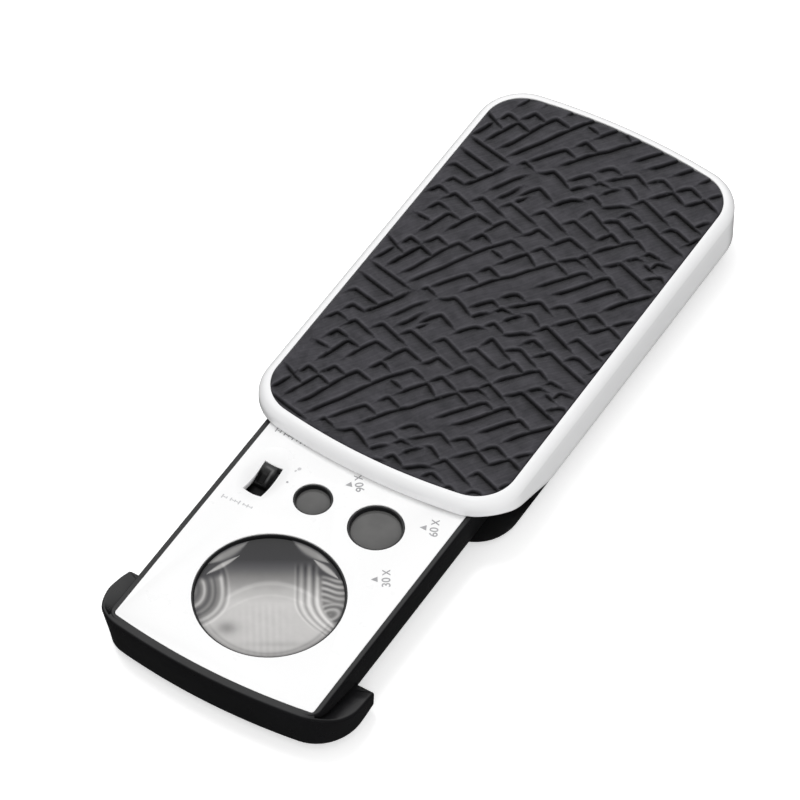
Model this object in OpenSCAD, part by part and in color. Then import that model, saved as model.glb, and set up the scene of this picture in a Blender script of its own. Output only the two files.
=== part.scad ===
// Pocket slide-out checker: a flat sleeve with an embossed pad on top and a
// lens tray that slides out of its front end.
// Frame: origin on the sleeve's centreline, at mid-length, on its bottom face.
// +Y points to the sleeve's rear end, the tray slides out towards -Y, +Z is up.
// The tray is drawn pulled out, as it is used.  All sizes are millimetres.

/* [Sleeve] */
// Overall width of the sleeve
sleeve_w = 58.8; // [56:0.1:62]
// Overall length of the sleeve
sleeve_l = 104.7; // [104:0.1:107]
// Overall height of the sleeve
sleeve_h = 14.3; // [14.1:0.1:15]
// Radius of the sleeve's plan corners
corner_r = 10.5; // [9:0.1:12]
// How much the end edges bow outwards, per mm squared
bow = 0.0037; // [0.003:0.0001:0.0045]
// Wall of the white cover
cover_wall = 1.5; // [1.3:0.05:1.6]
// Thickness of the black bottom shell's floor
floor_t = 1.5; // [1.4:0.05:1.5]
// Length of the embossed pad
pad_l = 100; // [98:0.1:100.6]
// Width of the embossed pad
pad_w = 54.4; // [52:0.1:54.6]
// Thickness of the embossed pad
pad_t = 1.15; // [0.8:0.05:1.15]

/* [Tray] */
// Width of the tray between its guides
tray_w = 47.3; // [46.8:0.1:47.4]
// Length of the tray
tray_l = 95.4; // [95.2:0.1:95.6]
// Height of the face plate's top above the sleeve's bottom face
plate_top = 10.4; // [10.3:0.05:10.45]
// Width of the white face plate
plate_w = 44.9; // [44:0.1:45]
// Thickness of the white face plate
plate_t = 1.2; // [1:0.05:1.3]
// Width across the tray's two front ears
ear_w = 56.8; // [54:0.1:57]
// How far the tray moves from pulled out to closed
travel = 57.4; // [55:0.1:57.5]

/* [Lenses] */
// Diameter of the large lens opening
lens30_d = 30; // [28:0.1:30.2]
// Diameter of the middle eyepiece opening
lens60_d = 11.28; // [10:0.01:11.4]
// Diameter of the small eyepiece opening
lens90_d = 7.88; // [7:0.01:8]

/* [Switch] */
// Width of the switch slot
slot_w = 4.2; // [4:0.1:4.6]
// Length of the switch slot
slot_l = 8.1; // [8:0.1:8.6]
// Travel of the switch knob each way from the middle
knob_travel = 1.6; // [1:0.1:1.6]

/* [Power] */
// Diameter of a button cell
cell_d = 11.6; // [11.4:0.05:11.6]
// Thickness of a button cell
cell_h = 3.05; // [2.9:0.01:3.05]

/* [Hidden] */
$fn = 64;

black = [0.1, 0.1, 0.11];
barrel_black = [0.08, 0.08, 0.08];
clear_glass = [0.8, 0.85, 0.88, 0.5];
dark_glass = [0.4, 0.42, 0.44];

// Sleeve
sleeve_rear = sleeve_l / 2;
sleeve_front = -sleeve_rear;
skirt = 4.15;                 // lower edge of the cover's skirt
lip = 10.6;                   // lower edge of the cover's front lip
roof = 11.8;                  // underside of the cover's roof
shell_inset = 1.1;            // shell's outline inside the cover's
shell_wall = 1.4;
rail_front = -33.1;           // front end of the guide rails
rail_top = 3.8;
rail_out = 27.0;              // outer side of the rails, from the centreline
door_w = 37.2;
door_front = 28.7;
door_gap = 0.1;
// One row per left and right pair of screws:
// x, y, post radius, post bottom, top of the pilot hole, screw tip
sleeve_screw_pairs = [[25.15, -30.8, 1.25, 8.2, 11.0, 10.6],
                      [21.6, 46.0, 1.6, 4.2, 9.5, 9.0]];

// Tray, pulled out
tray_front = sleeve_front + 0.55 - travel;
tray_rear = tray_front + tray_l;
tray_half = tray_w / 2;
tray_bottom = 1.65;
shoulder = 3.9;               // underside of the tray's side shoulders
tray_floor = 2.85;            // inside floor of the tray
tray_bow = 0.0036;            // bow of the tray's front edge
plate_under = plate_top - plate_t;

// Places on the tray
lens30_at = [0.4, tray_front + 23.07];
lens60_at = [9.07, tray_front + 47.74];
lens90_at = [-4.99, tray_front + 47.23];
switch_at = [-16.4, tray_front + 47];
led_at = [[1.9, tray_front + 41.2],
          [-18.2, tray_front + 37.6], [18.2, tray_front + 37.6]];
uv_at = [2.2, tray_front + 54];
lamps_at = concat(led_at, [uv_at]);
tray_screws_at = [[-17.9, tray_front + 59.2], [17.9, tray_front + 59.2],
                  [-17.6, tray_front + 5.4], [17.6, tray_front + 5.4]];
cell_y = tray_front + 87.6;
cell_x = [-12.2, 0, 12.2];
lid_at = [0, cell_y + 0.2];
lid_size = [37, 13, 1.1];
wire_y = tray_front + 60.7;

lens30_r = lens30_d / 2;
barrel60_r = lens60_d / 2 - 0.1;
barrel90_r = lens90_d / 2 - 0.1;
lamp_leg = 0.6;               // lamp legs, each side of the lamp's axis
dish_rise = 3.0;              // switch dish's axis above the plate
dish_deep = 2.3;              // dish depth
dish_half = 7.5;              // half-length of the dish

// ---- Shared shapes ----

// Upright cylinder at a plan point.
module rod(at, r, z, h)
    translate([at.x, at.y, z]) cylinder(r = r, h = h);

// Box centred on a plan point.
module block(at, size, z)
    translate([at.x - size.x / 2, at.y - size.y / 2, z]) cube(size);

// Left and right boxes between x0 and x1 from the centreline.
module side_boxes(x0, x1, y, z, length, height)
    for (side = [-1, 1])
        translate([side > 0 ? x0 : -x1, y, z]) cube([x1 - x0, length, height]);

// Plan outline raised from z.
module slab(z, height, points)
    translate([0, 0, z]) linear_extrude(height) polygon(points);

// Side view outline of [y, z] points, extruded towards +X from x.
module side_slab(x, width, points)
    translate([x, 0, 0]) rotate([90, 0, 90]) linear_extrude(width) polygon(points);

// Row of grooves across the centreline, as wide as the gaps between them.
module grooves(count, y, z, size)
    for (i = [0:count - 1])
        translate([-size.x / 2, y + 2 * size.y * i, z]) cube(size);

// Angle at which a bowed edge meets its corner arc.
function tilt(half, r, k) = atan(2 * k * (half - r + r * sin(atan(2 * k * half))));
function arc(cx, cy, r, a0, a1, n) =
    [for (i = [0:n]) let (a = a0 + (a1 - a0) * i / n)
        [cx + r * cos(a), cy + r * sin(a)]];
// Bowed edge from x0 to x1, leaving out skip points at each end.
function edge(x0, x1, y, k, n, skip = 1) =
    [for (i = [skip:n - skip]) let (x = x0 + (x1 - x0) * i / n) [x, y + k * x * x]];

// Closed outline: bowed front and rear edges, straight sides, round corners.
// inset moves the whole outline inwards.
function outline(half_w, front, rear, radius, k, inset) =
    let (half = half_w - inset, r = radius - inset, cx = half - r,
         turn = tilt(half, r, k), xe = cx + r * sin(turn), n = 9,
         drop = k * xe * xe + r * cos(turn),
         y0 = front + inset + drop, y1 = rear - inset - drop)
    concat(arc(cx, y0, r, -90 + turn, 0, n),
           arc(cx, y1, r, 0, 90 - turn, n),
           edge(xe, -xe, rear - inset, -k, 8),
           arc(-cx, y1, r, 90 + turn, 180, n),
           arc(-cx, y0, r, 180, 270 - turn, n),
           edge(-xe, xe, front + inset, k, 8));

// Closed skin through one ring for each row of profile, whose first column
// is z.  The rings all have the same number of points.
module loft(profile, rings) {
    n = len(rings[0]);
    m = len(rings);
    polyhedron(
        points = [for (j = [0:m - 1]) for (p = rings[j]) [p.x, p.y, profile[j][0]]],
        faces = concat(
            [[for (i = [0:n - 1]) i]],
            [[for (i = [0:n - 1]) (m - 1) * n + n - 1 - i]],
            [for (j = [0:m - 2]) for (i = [0:n - 1])
                let (a = j * n + i, b = j * n + (i + 1) % n)
                [a, a + n, b + n]],
            [for (j = [0:m - 2]) for (i = [0:n - 1])
                let (a = j * n + i, b = j * n + (i + 1) % n)
                [a, b + n, b]]),
        convexity = 6);
}

// Screw pointing up, with a cross slot in the underside of its head.
module screw(at, bottom, head_r, shank_r, tip) {
    head_h = 0.85;
    slot = [head_r * 1.4, 0.36];
    slot_h = head_h * 0.55 + 0.1;
    translate([at.x, at.y, bottom]) difference() {
        union() {
            cylinder(r = head_r, h = head_h);
            cylinder(r = shank_r, h = tip - bottom);
        }
        block([0, 0], [slot.x, slot.y, slot_h], -0.1);
        block([0, 0], [slot.y, slot.x, slot_h], -0.1);
    }
}

// ---- Sleeve ----

// Rounding profiles: z, inset of the outline
cover_profile = [[2, 0], [12.2, 0], [12.9, 0.18], [13.5, 0.5],
                 [13.95, 0.95], [14.2, 1.45], [sleeve_h, 1.95]];
foot_profile = [[0, 2.0], [0.3, 1.2], [0.8, 0.55]];
shell_profile = concat(foot_profile, [[1.5, 0.15], [2.3, 0], [4.1, 0]]);
door_profile = concat(foot_profile, [[1.45, 0.2]]);

// Side view of the space under the cover's lower edge, which arches up over
// the ears' openings at the front corners: y, z
below_cover = [[-60, -2], [60, -2], [60, skirt], [-29.5, skirt],
               [-31.2, skirt + 0.6], [-33.0, skirt + 1.35],
               [-35.8, skirt + 2.35], [-39.6, skirt + 3.45],
               [-43.4, skirt + 5.05], [-46.0, skirt + 5.95],
               [-48.0, lip - 0.12], [-50.0, lip], [-60, lip]];

function cover_outline(inset) =
    outline(sleeve_w / 2, sleeve_front, sleeve_rear, corner_r, bow, inset);
function shell_outline(inset) =
    outline(sleeve_w / 2 - shell_inset, sleeve_front + shell_inset,
            sleeve_rear - shell_inset, corner_r - 1, bow, inset);
function pad_outline(gap, radius) =
    outline(pad_w / 2 + gap, -pad_l / 2 - gap, pad_l / 2 + gap, radius, 0.0041, 0);

module top_cover() color("white") difference() {
    post_top = 12.2;
    union() {
        difference() {
            loft(cover_profile, [for (row = cover_profile) cover_outline(row[1])]);
            slab(0, roof, cover_outline(cover_wall));
        }
        for (s = sleeve_screw_pairs) for (side = [-1, 1])
            rod([side * s[0], s[1]], s[2], s[3], post_top - s[3]);
    }
    slab(sleeve_h - pad_t - 0.05, 4, pad_outline(0.08, 8.6));
    side_slab(-40, 80, below_cover);
    // pilot holes, from below the posts
    for (s = sleeve_screw_pairs) for (side = [-1, 1])
        rod([side * s[0], s[1]], 0.7, s[3] - 1.2, s[4] - s[3] + 1.2);
}

module top_pad() color([0.27, 0.26, 0.28])
    slab(sleeve_h - pad_t, pad_t, pad_outline(0, 8.5));

module bottom_shell() color(black) difference() {
    union() {
        difference() {
            loft(shell_profile, [for (row = shell_profile) shell_outline(row[1])]);
            slab(floor_t, 6, shell_outline(shell_wall));
        }
        // locating tongue inside the cover's wall
        difference() {
            slab(3, 2.9, shell_outline(0.65));
            slab(2, 6, shell_outline(shell_wall));
        }
        // guide rails under the tray's shoulders
        side_boxes(tray_half - 1.9, rail_out, rail_front, floor_t - 0.2,
                   76, rail_top - floor_t + 0.2);
        // side guides and outward stops
        side_boxes(tray_half + 0.15, rail_out, rail_front, rail_top - 0.2,
                   12.7, 8.1 - rail_top + 0.2);
    }
    // open front corners and mouth
    translate([-40, -60, floor_t]) cube([80, 26, 20]);
    // battery door opening and its runners
    translate([-door_w / 2 - door_gap, door_front - door_gap, -1])
        cube([door_w + 2 * door_gap, 40, 2.6]);
    side_boxes(door_w / 2, door_w / 2 + 1, door_front - door_gap, 0.42, 40, 0.66);
    // screw holes and head recesses
    for (s = sleeve_screw_pairs) for (side = [-1, 1]) {
        rod([side * s[0], s[1]], 0.8, -1, 12);
        rod([side * s[0], s[1]], 1.4, -1, 2.0);
    }
}

module sleeve_screws() color("silver")
    for (s = sleeve_screw_pairs) for (side = [-1, 1])
        screw([side * s[0], s[1]], bottom = 0.15, head_r = 1.3, shank_r = 0.62, tip = s[5]);

// Bowed leaf springs that press on the tray's sides, on two flat feet.
function leaf(out, steps) = [for (i = steps) let (u = -1 + 2 * i / 12)
    [tray_half + 0.07 + out + 3.6 * u * u, -23.6 + 4.6 * u]];
module friction_springs() color("silver") for (side = [0, 1]) mirror([side, 0, 0])
    translate([0, 0, 8.35]) linear_extrude(1.5) {
        polygon(concat(leaf(0, [0:12]), leaf(0.25, [12:-1:0])));
        for (y = [-29.2, -19.1]) translate([tray_half + 3.65, y]) square([0.27, 1.1]);
    }

// Door with a flange that runs in the shell's runners.
module battery_door() color(black) difference() {
    union() {
        intersection() {
            loft(door_profile, [for (row = door_profile) shell_outline(row[1])]);
            translate([-door_w / 2, door_front, -1]) cube([door_w, 40, 4]);
        }
        translate([-19.5, door_front, 0.5]) cube([39.0, 18.4, 0.5]);
    }
    grooves(5, y = 34, z = -0.2, size = [14, 0.8, 0.5]);
}

// ---- Tray ----

// Nose profile: z, inset of the outline
nose_profile = [[tray_bottom, 2.4], [1.95, 1.5], [2.6, 0.65], [3.5, 0.15],
                [4.6, 0], [9.3, 0.15], [9.95, 0.5], [plate_top, 1.2]];
// Side of an ear behind its corner: inset from the ear, y behind the front
ear_side = [[0.25, 13.7], [0.5, 15.3], [0.95, 17.1]];
// Side view of the space over an ear: y behind the front, z
above_ear = [[1.4, plate_top + 1], [2.3, 10.2], [3.9, 9.45], [5.9, 8.4],
             [8.2, 7.75], [11, 6.95], [14.2, 6.15], [19.2, 5.2],
             [29.2, 5.2], [29.2, plate_top + 1]];

// The tray's nose with its two ears, straight across at the back.
function nose(inset) =
    let (half = ear_w / 2 - inset, r = 9.5 - inset, cx = half - r,
         turn = tilt(half, r, tray_bow), xe = cx + r * sin(turn), n = 9,
         cy = tray_front + inset + tray_bow * xe * xe + r * cos(turn),
         back = tray_front + 18.4)
    concat(arc(cx, cy, r, -90 + turn, 0, n),
           [for (p = ear_side) [half - p.x, tray_front + p.y]],
           [[tray_half - 0.6, back], [-tray_half + 0.6, back]],
           [for (i = [2:-1:0]) [ear_side[i].x - half, tray_front + ear_side[i].y]],
           arc(-cx, cy, r, 180, 270 - turn, n),
           edge(-xe, xe, tray_front + inset, tray_bow, 10));

// Box outline with its front corners cut off.
function tray_plan(half, cut, front, rear) =
    [[-half, rear], [-half, front + cut], [-half + cut, front],
     [half - cut, front], [half, front + cut], [half, rear]];

// Room for the face plate.
function plate_recess() =
    let (half = plate_w / 2 + 0.05, rear = tray_rear + 1,
         side = tray_front + 4.8, corner = tray_front + 3.9)
    concat([[-half, rear], [-half, side], [-22.25, corner]],
           edge(-21.4, 21.4, tray_front + 1.95, tray_bow, 12, skip = 0),
           [[22.25, corner], [half, side], [half, rear]]);

module tray_solid() {
    box_front = tray_front + 8;
    // nose, with the sloping tops of its ears
    difference() {
        loft(nose_profile, [for (row = nose_profile) nose(row[1])]);
        for (side = [0, 1]) mirror([side, 0, 0])
            side_slab(tray_half, 12, [for (p = above_ear) [tray_front + p[0], p[1]]]);
    }
    // main box with a stepped top edge, and its narrower foot
    slab(shoulder, plate_top - 0.35 - shoulder,
         tray_plan(tray_half, 1, box_front, tray_rear));
    slab(shoulder, plate_top - shoulder,
         tray_plan(tray_half - 0.35, 1, box_front, tray_rear));
    slab(tray_bottom, 3, tray_plan(tray_half - 2.05, 1, box_front, tray_rear));
    // rear stop lugs
    side_boxes(tray_half - 0.5, tray_half + 2.2, tray_rear - 3.5, shoulder + 0.1,
               3.5, 4.0);
}

// Hollow of the tub, leaving what stands on its floor.
module tray_hollow() difference() {
    union() {
        for (step = [[tray_floor, 19.9], [4.9, 21.3]])    // z, half-width
            slab(step[0], 20, tray_plan(step[1], 1.2, tray_front + 3.6, tray_rear - 1.4));
    }
    // tube round the large lens
    rod(lens30_at, lens30_r + 1.2, 0, plate_under - 0.02);
    // raised collars under the two eyepieces
    rod(lens60_at, 6.4, 0, 4.6);
    rod(lens90_at, 4.7, 0, 4.6);
    // screw posts
    for (at = tray_screws_at) rod(at, 1.9, 0, 7);
    // cell bay with its roof
    block([0, cell_y + 0.4], [39.2, 15.2, 8.2], 0);
}

module tray_body() color([0.12, 0.12, 0.13]) difference() {
    tray_solid();
    slab(plate_under - 0.02, 4, plate_recess());
    tray_hollow();
    // bore and seat of the large lens
    rod(lens30_at, 13.9, -1, 20);
    rod(lens30_at, lens30_r, 7.05, 20);
    // seats and light paths of the eyepieces
    rod(lens60_at, 5.6, tray_floor, 20);
    rod(lens60_at, 3.4, -1, 20);
    rod(lens90_at, 3.9, tray_floor, 20);
    rod(lens90_at, 2.2, -1, 20);
    // lamp windows
    for (at = lamps_at) rod(at, 1.65, -1, 5);
    // screw holes and head recesses
    for (at = tray_screws_at) {
        rod(at, 0.8, -1, 12);
        rod(at, 1.45, -1, 3.75);
    }
    // cell pockets, open below, their contact slots and the lid's recess
    for (x = cell_x) rod([x, cell_y], cell_d / 2 + 0.1, -1, 7.55);
    block([0, cell_y], [25, 4.6, 4.4], -1);
    block([0, cell_y], [25, 4.6, 0.66], 5.9);
    block(lid_at, [lid_size.x + 0.2, lid_size.y + 0.2, tray_floor + 1], -1);
}

// Barrel-shaped cutter turned about an axis that runs along Y above the plate.
module dish(grow) {
    end_y = dish_half + 0.4;
    end_r = dish_rise - 0.1 + grow;
    mid_r = dish_rise + dish_deep + grow;
    translate([switch_at.x, switch_at.y, plate_top + dish_rise]) rotate([-90, 0, 0])
        rotate_extrude($fn = 64)
            polygon([[0, -end_y], [end_r, -end_y], [mid_r, -3.5],
                     [mid_r, 3.5], [end_r, end_y], [0, end_y]]);
}

function plate_outline() =
    let (half = plate_w / 2, r = 1.5, cy = tray_front + 5.05, rear = tray_rear - 0.2)
    concat([[-half, rear]],
           arc(-half + r, cy, r, 180, 259, 5),
           edge(-20.7, 20.7, tray_front + 2.01, tray_bow, 14),
           arc(half - r, cy, r, 281, 360, 5),
           [[half, rear]]);

module face_plate() color([0.97, 0.97, 0.97]) difference() {
    union() {
        slab(plate_under, plate_t, plate_outline());
        // bowl under the switch dish
        intersection() {
            dish(0.8);
            translate([switch_at.x - 8, switch_at.y - 10, plate_top - 6])
                cube([16, 20, 5.5]);
        }
        // screw posts
        for (at = tray_screws_at) rod(at, 1.7, 7.05, 2.5);
    }
    dish(0);
    block(switch_at, [slot_w, slot_l, 20], 0);
    rod(lens30_at, lens30_r, 0, 20);
    rod(lens60_at, lens60_d / 2, 0, 20);
    rod(lens90_at, lens90_d / 2, 0, 20);
    // pilot holes in the posts
    for (at = tray_screws_at) rod(at, 0.65, 5, 4.6);
}

module tray_screws() color("silver") for (at = tray_screws_at)
    screw(at, bottom = tray_bottom + 0.15, head_r = 1.35, shank_r = 0.6, tip = 9.0);

// ---- Lenses ----

// Half-profile of a dome on the rim at height z; way is 1 for up, -1 for down.
function dome(r, sag, z, way, steps) =
    let (ball_r = (r * r + sag * sag) / (2 * sag), reach = asin(r / ball_r))
    [for (i = steps) let (a = reach * i / 14)
        [ball_r * sin(a), z + way * (ball_r * cos(a) - (ball_r - sag))]];

// Lens with a straight rim from z0 to z1 and domes of height low and high.
module lens(at, r, z0, z1, low, high, tint)
    color(tint) translate([at.x, at.y, 0]) rotate_extrude($fn = 96)
        polygon(concat(dome(r, low, z0, -1, [0:14]), dome(r, high, z1, 1, [14:-1:0])));

// Eyepiece tube with a holed floor.
module barrel(at, r, wall, bore)
    color(barrel_black) translate([at.x, at.y, tray_floor + 0.05]) difference() {
        cylinder(r = r, h = 7.35);
        translate([0, 0, 0.8]) cylinder(r = r - wall, h = 20);
        translate([0, 0, -1]) cylinder(r = bore, h = 20);
    }

module lens_30x()
    lens(lens30_at, r = 14.6, z0 = 7.3, z1 = 8.5, low = 2.4, high = 1.7, tint = clear_glass);
module lens_ring_30x() color(barrel_black) difference() {
    rod(lens30_at, lens30_r - 0.06, 8.6, 1.6);
    rod(lens30_at, 14.35, 7.6, 4);
}
module barrel_60x() barrel(lens60_at, barrel60_r, wall = 0.5, bore = 3.2);
module lens_60x()
    lens(lens60_at, r = 5.0, z0 = 8.2, z1 = 8.9, low = 0.5, high = 0.6, tint = dark_glass);
module objective_60x()
    lens(lens60_at, r = 5.0, z0 = 4.3, z1 = 4.9, low = 0.5, high = 0.7, tint = clear_glass);
module barrel_90x() barrel(lens90_at, barrel90_r, wall = 0.45, bore = 2.1);
module lens_90x()
    lens(lens90_at, r = 3.35, z0 = 8.3, z1 = 8.9, low = 0.4, high = 0.5, tint = dark_glass);
module objective_90x()
    lens(lens90_at, r = 3.35, z0 = 4.2, z1 = 4.8, low = 0.4, high = 0.6, tint = clear_glass);

// ---- Board, lamps and switch ----

module circuit_board() color([0.1, 0.45, 0.2]) difference() {
    translate([-20.9, tray_front + 35.8, 5.8]) cube([41.8, 26.4, 1]);
    rod(lens30_at, 16.5, 0, 20);
    rod(lens60_at, 5.9, 0, 20);
    rod(lens90_at, 4.2, 0, 20);
    block(switch_at, [7.6, 16.4, 20], 0);
    for (at = tray_screws_at) rod(at, 2.1, 0, 20);
    for (at = lamps_at) for (leg = [-lamp_leg, lamp_leg])
        rod([at.x + leg, at.y], 0.32, 5, 4);
}

module resistors() color([0.15, 0.15, 0.15]) for (x = [-7.5, -1.5, 9.5])
    translate([x, tray_front + 58.6, 6.82]) cube([3.2, 1.6, 0.55]);

// Lamp that points down, with two legs up into the board.
module led(at, tint) color(tint) translate([at.x, at.y, 0]) {
    translate([0, 0, 3.5]) cylinder(r = 1.5, h = 2.25);
    translate([0, 0, 3.5]) sphere(r = 1.5);
    for (leg = [-lamp_leg, lamp_leg]) rod([leg, 0], 0.25, 5.7, 1.5);
}
module white_leds() for (at = led_at) led(at, [0.95, 0.93, 0.8]);
module uv_led() led(uv_at, [0.55, 0.4, 0.85]);

module switch_housing() color("silver") difference() {
    block(switch_at, [6.8, 11.2, 3.25], tray_floor + 0.03);
    block(switch_at, [2.2, 6.4, 4], 4.6);
}

// Knob with a hollowed top, on a blade that covers the slot from below.
// It stands at the rear end of its travel.
module switch_lever() color([0.13, 0.13, 0.14])
    translate([switch_at.x, switch_at.y + knob_travel, 0]) {
        block([0, 0], [5.8, 11.8, 0.6], 6.45);
        block([0, 0], [1.6, 2.4, 1.4], 5.1);
        difference() {
            block([0, 0], [3.9, 4.6, 2.9], 7);
            translate([-3, 0, 14.4]) rotate([0, 90, 0]) cylinder(r = 5.2, h = 6);
        }
    }

// ---- Power ----

module button_cells() color("silver") for (x = cell_x)
    translate([x, cell_y, 3.3]) {
        cylinder(r = cell_d / 2, h = cell_h * 0.78);
        translate([0, 0, cell_h * 0.78]) cylinder(r = cell_d / 2 - 0.9, h = cell_h * 0.22);
    }

// Contact strip from the cell at x0 to the one at x1.
module contact(x0, x1, z, width, thick)
    translate([x0 - 3, cell_y - 2, z]) cube([x1 - x0 + 6, width, thick]);
module cell_top_contacts() color("gold") {
    contact(cell_x[0], cell_x[0], z = 6.36, width = 4, thick = 0.16);
    contact(cell_x[1], cell_x[2], z = 6.36, width = 1.6, thick = 0.16);
}
module cell_bottom_contacts() color("gold") {
    contact(cell_x[0], cell_x[1], z = 3.1, width = 4, thick = 0.18);
    contact(cell_x[2], cell_x[2], z = 3.1, width = 4, thick = 0.18);
}

module cell_lid() color(black) difference() {
    block(lid_at, lid_size, tray_bottom + 0.05);
    grooves(4, y = cell_y - 3.4, z = tray_bottom - 0.2, size = [8, 0.7, 0.6]);
}

// A lead that rises off the board, bends and runs back over the cell bay.
module wire(x) {
    r = 0.45;
    foot = 6.83;
    bend = 8.7;
    translate([x, wire_y, foot]) cylinder(r = r, h = bend - foot, $fn = 24);
    translate([x, wire_y, bend]) {
        sphere(r = r, $fn = 24);
        rotate([-90, 0, 0]) cylinder(r = r, h = cell_y - wire_y, $fn = 24);
    }
}
module lead_wires() {
    color("red") wire(-8.5);
    color("black") wire(7.5);
}

top_cover();
top_pad();
bottom_shell();
sleeve_screws();
friction_springs();
battery_door();
tray_body();
face_plate();
lens_30x();
lens_ring_30x();
barrel_60x();
lens_60x();
objective_60x();
barrel_90x();
lens_90x();
objective_90x();
circuit_board();
resistors();
white_leds();
uv_led();
switch_housing();
switch_lever();
button_cells();
cell_top_contacts();
cell_bottom_contacts();
cell_lid();
lead_wires();
tray_screws();
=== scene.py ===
"""Looks of a pocket slide-out magnifier.

A white sleeve with an embossed charcoal pad on top holds a black tray, slid out towards -Y (the
front). The tray's white face plate frames one large lens, two eyepieces and a thumb switch.
X runs across, Y along and Z up. Shapes are in millimetres and scaled to metres when finished.
"""
import bpy
import bmesh
from math import asin, atan, cos, degrees, pi, radians, sin
import numpy as np
from mathutils import Matrix, Vector


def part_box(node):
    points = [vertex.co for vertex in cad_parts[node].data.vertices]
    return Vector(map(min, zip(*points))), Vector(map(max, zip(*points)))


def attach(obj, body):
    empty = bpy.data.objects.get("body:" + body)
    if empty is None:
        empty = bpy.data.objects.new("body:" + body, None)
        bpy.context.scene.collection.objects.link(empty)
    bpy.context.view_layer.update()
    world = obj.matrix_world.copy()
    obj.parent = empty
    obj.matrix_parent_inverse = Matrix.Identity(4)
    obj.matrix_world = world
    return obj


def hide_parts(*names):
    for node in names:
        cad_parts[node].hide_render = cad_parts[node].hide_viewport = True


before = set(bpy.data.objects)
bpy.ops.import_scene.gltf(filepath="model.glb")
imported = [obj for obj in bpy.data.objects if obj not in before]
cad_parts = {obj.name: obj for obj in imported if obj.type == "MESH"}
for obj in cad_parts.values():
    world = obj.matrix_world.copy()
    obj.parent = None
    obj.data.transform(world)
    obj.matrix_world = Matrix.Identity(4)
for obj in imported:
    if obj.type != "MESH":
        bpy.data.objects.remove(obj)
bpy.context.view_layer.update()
MM = 0.001


# ------------------------------------------------------------------ sizes (mm)
def box_mm(node):
    """Low and high corners of a CAD node's box."""
    return [[value * 1000 for value in corner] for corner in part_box(node)]


def centre(node):
    low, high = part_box(node)
    return ((low.x + high.x) * 500, (low.y + high.y) * 500)


(_, COVER_FRONT, _), (COVER_HALF, COVER_REAR, COVER_TOP) = box_mm("top_cover")
(_, PAD_FRONT, _), (PAD_HALF, PAD_REAR, _) = box_mm("top_pad")
(_, TRAY_FRONT, TRAY_BOTTOM), (TRAY_HALF, TRAY_REAR, _) = box_mm("tray_body")
_, (PLATE_HALF, _, PLATE_TOP) = box_mm("face_plate")
TUB_HALF = 23.65
PAD_CORNER = 8.5
# bow of the ends: an end is moved towards the middle by bow * x * x
COVER_BOW, PAD_BOW, TRAY_BOW = 0.0037, 0.0041, 0.0036

LARGE_LENS_AT = centre("lens_ring_30x")
MIDDLE_AT = centre("barrel_60x")
SMALL_AT = centre("barrel_90x")
SWITCH_AT = centre("switch_housing")
KNOB_AT = centre("switch_lever")
LENS_SEAT = 15.0  # radius of the seat and the plate hole round the large lens

CAMERA_AZIMUTH, CAMERA_ELEVATION = radians(31.764), radians(50.442)


# ------------------------------------------------------------------ mesh helpers
def shade_smooth(mesh):
    mesh.polygons.foreach_set("use_smooth", [True] * len(mesh.polygons))


def link_object(name, data):
    made = bpy.data.objects.new(name, data)
    bpy.context.scene.collection.objects.link(made)
    return made


def new_object(name, verts, faces, smooth=True):
    mesh = bpy.data.meshes.new(name)
    mesh.from_pydata([tuple(map(float, v)) for v in verts], [], [tuple(map(int, f)) for f in faces])
    mesh.validate()
    if smooth:
        shade_smooth(mesh)
    return link_object(name, mesh)


def remove(piece):
    mesh = piece.data
    bpy.data.objects.remove(piece)
    bpy.data.meshes.remove(mesh)


def level(points, z):
    """Plan points lifted to z, one height or one per point."""
    return np.column_stack([points, np.broadcast_to(z, (len(points),))])


def skin(rings, close_ring=True, close_profile=False):
    """Quads through rings of equal length, capped unless the profile closes on itself."""
    rings = np.asarray(rings, float)
    levels, count, _ = rings.shape
    faces = []
    for j in range(levels if close_profile else levels - 1):
        low, high = j * count, ((j + 1) % levels) * count
        for i in range(count if close_ring else count - 1):
            k = (i + 1) % count
            faces.append((low + i, low + k, high + k, high + i))
    if not close_profile:
        faces.append(tuple(range(count - 1, -1, -1)))
        faces.append(tuple((levels - 1) * count + i for i in range(count)))
    return rings.reshape(-1, 3), faces


def apply_modifiers(piece):
    bpy.context.view_layer.update()
    graph = bpy.context.evaluated_depsgraph_get()
    mesh = bpy.data.meshes.new_from_object(piece.evaluated_get(graph), depsgraph=graph)
    piece.modifiers.clear()
    old = piece.data
    piece.data = mesh
    bpy.data.meshes.remove(old)


def boolean(body, tools, operation):
    for tool in tools:
        modifier = body.modifiers.new("boolean", "BOOLEAN")
        modifier.operation = operation
        modifier.solver = "EXACT"
        modifier.object = tool
        apply_modifiers(body)
        remove(tool)


def cut(body, *tools):
    boolean(body, tools, "DIFFERENCE")


def fuse(body, *tools):
    boolean(body, tools, "UNION")


def bevel(piece, width, segments=2, angle=40):
    modifier = piece.modifiers.new("bevel", "BEVEL")
    modifier.width = width
    modifier.segments = segments
    modifier.limit_method = "ANGLE"
    modifier.angle_limit = radians(angle)
    modifier.use_clamp_overlap = True
    modifier.miter_outer = "MITER_ARC"
    apply_modifiers(piece)
    return piece


def join(first, *others):
    merged = bmesh.new()
    for piece in (first, *others):
        merged.from_mesh(piece.data)
    merged.to_mesh(first.data)
    merged.free()
    for piece in others:
        remove(piece)
    return first


def clean(piece, distance=1e-4):
    """Weld close points and turn all faces outwards."""
    mesh = bmesh.new()
    mesh.from_mesh(piece.data)
    bmesh.ops.remove_doubles(mesh, verts=mesh.verts, dist=distance)
    bmesh.ops.recalc_face_normals(mesh, faces=mesh.faces)
    mesh.to_mesh(piece.data)
    mesh.free()
    return piece


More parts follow.
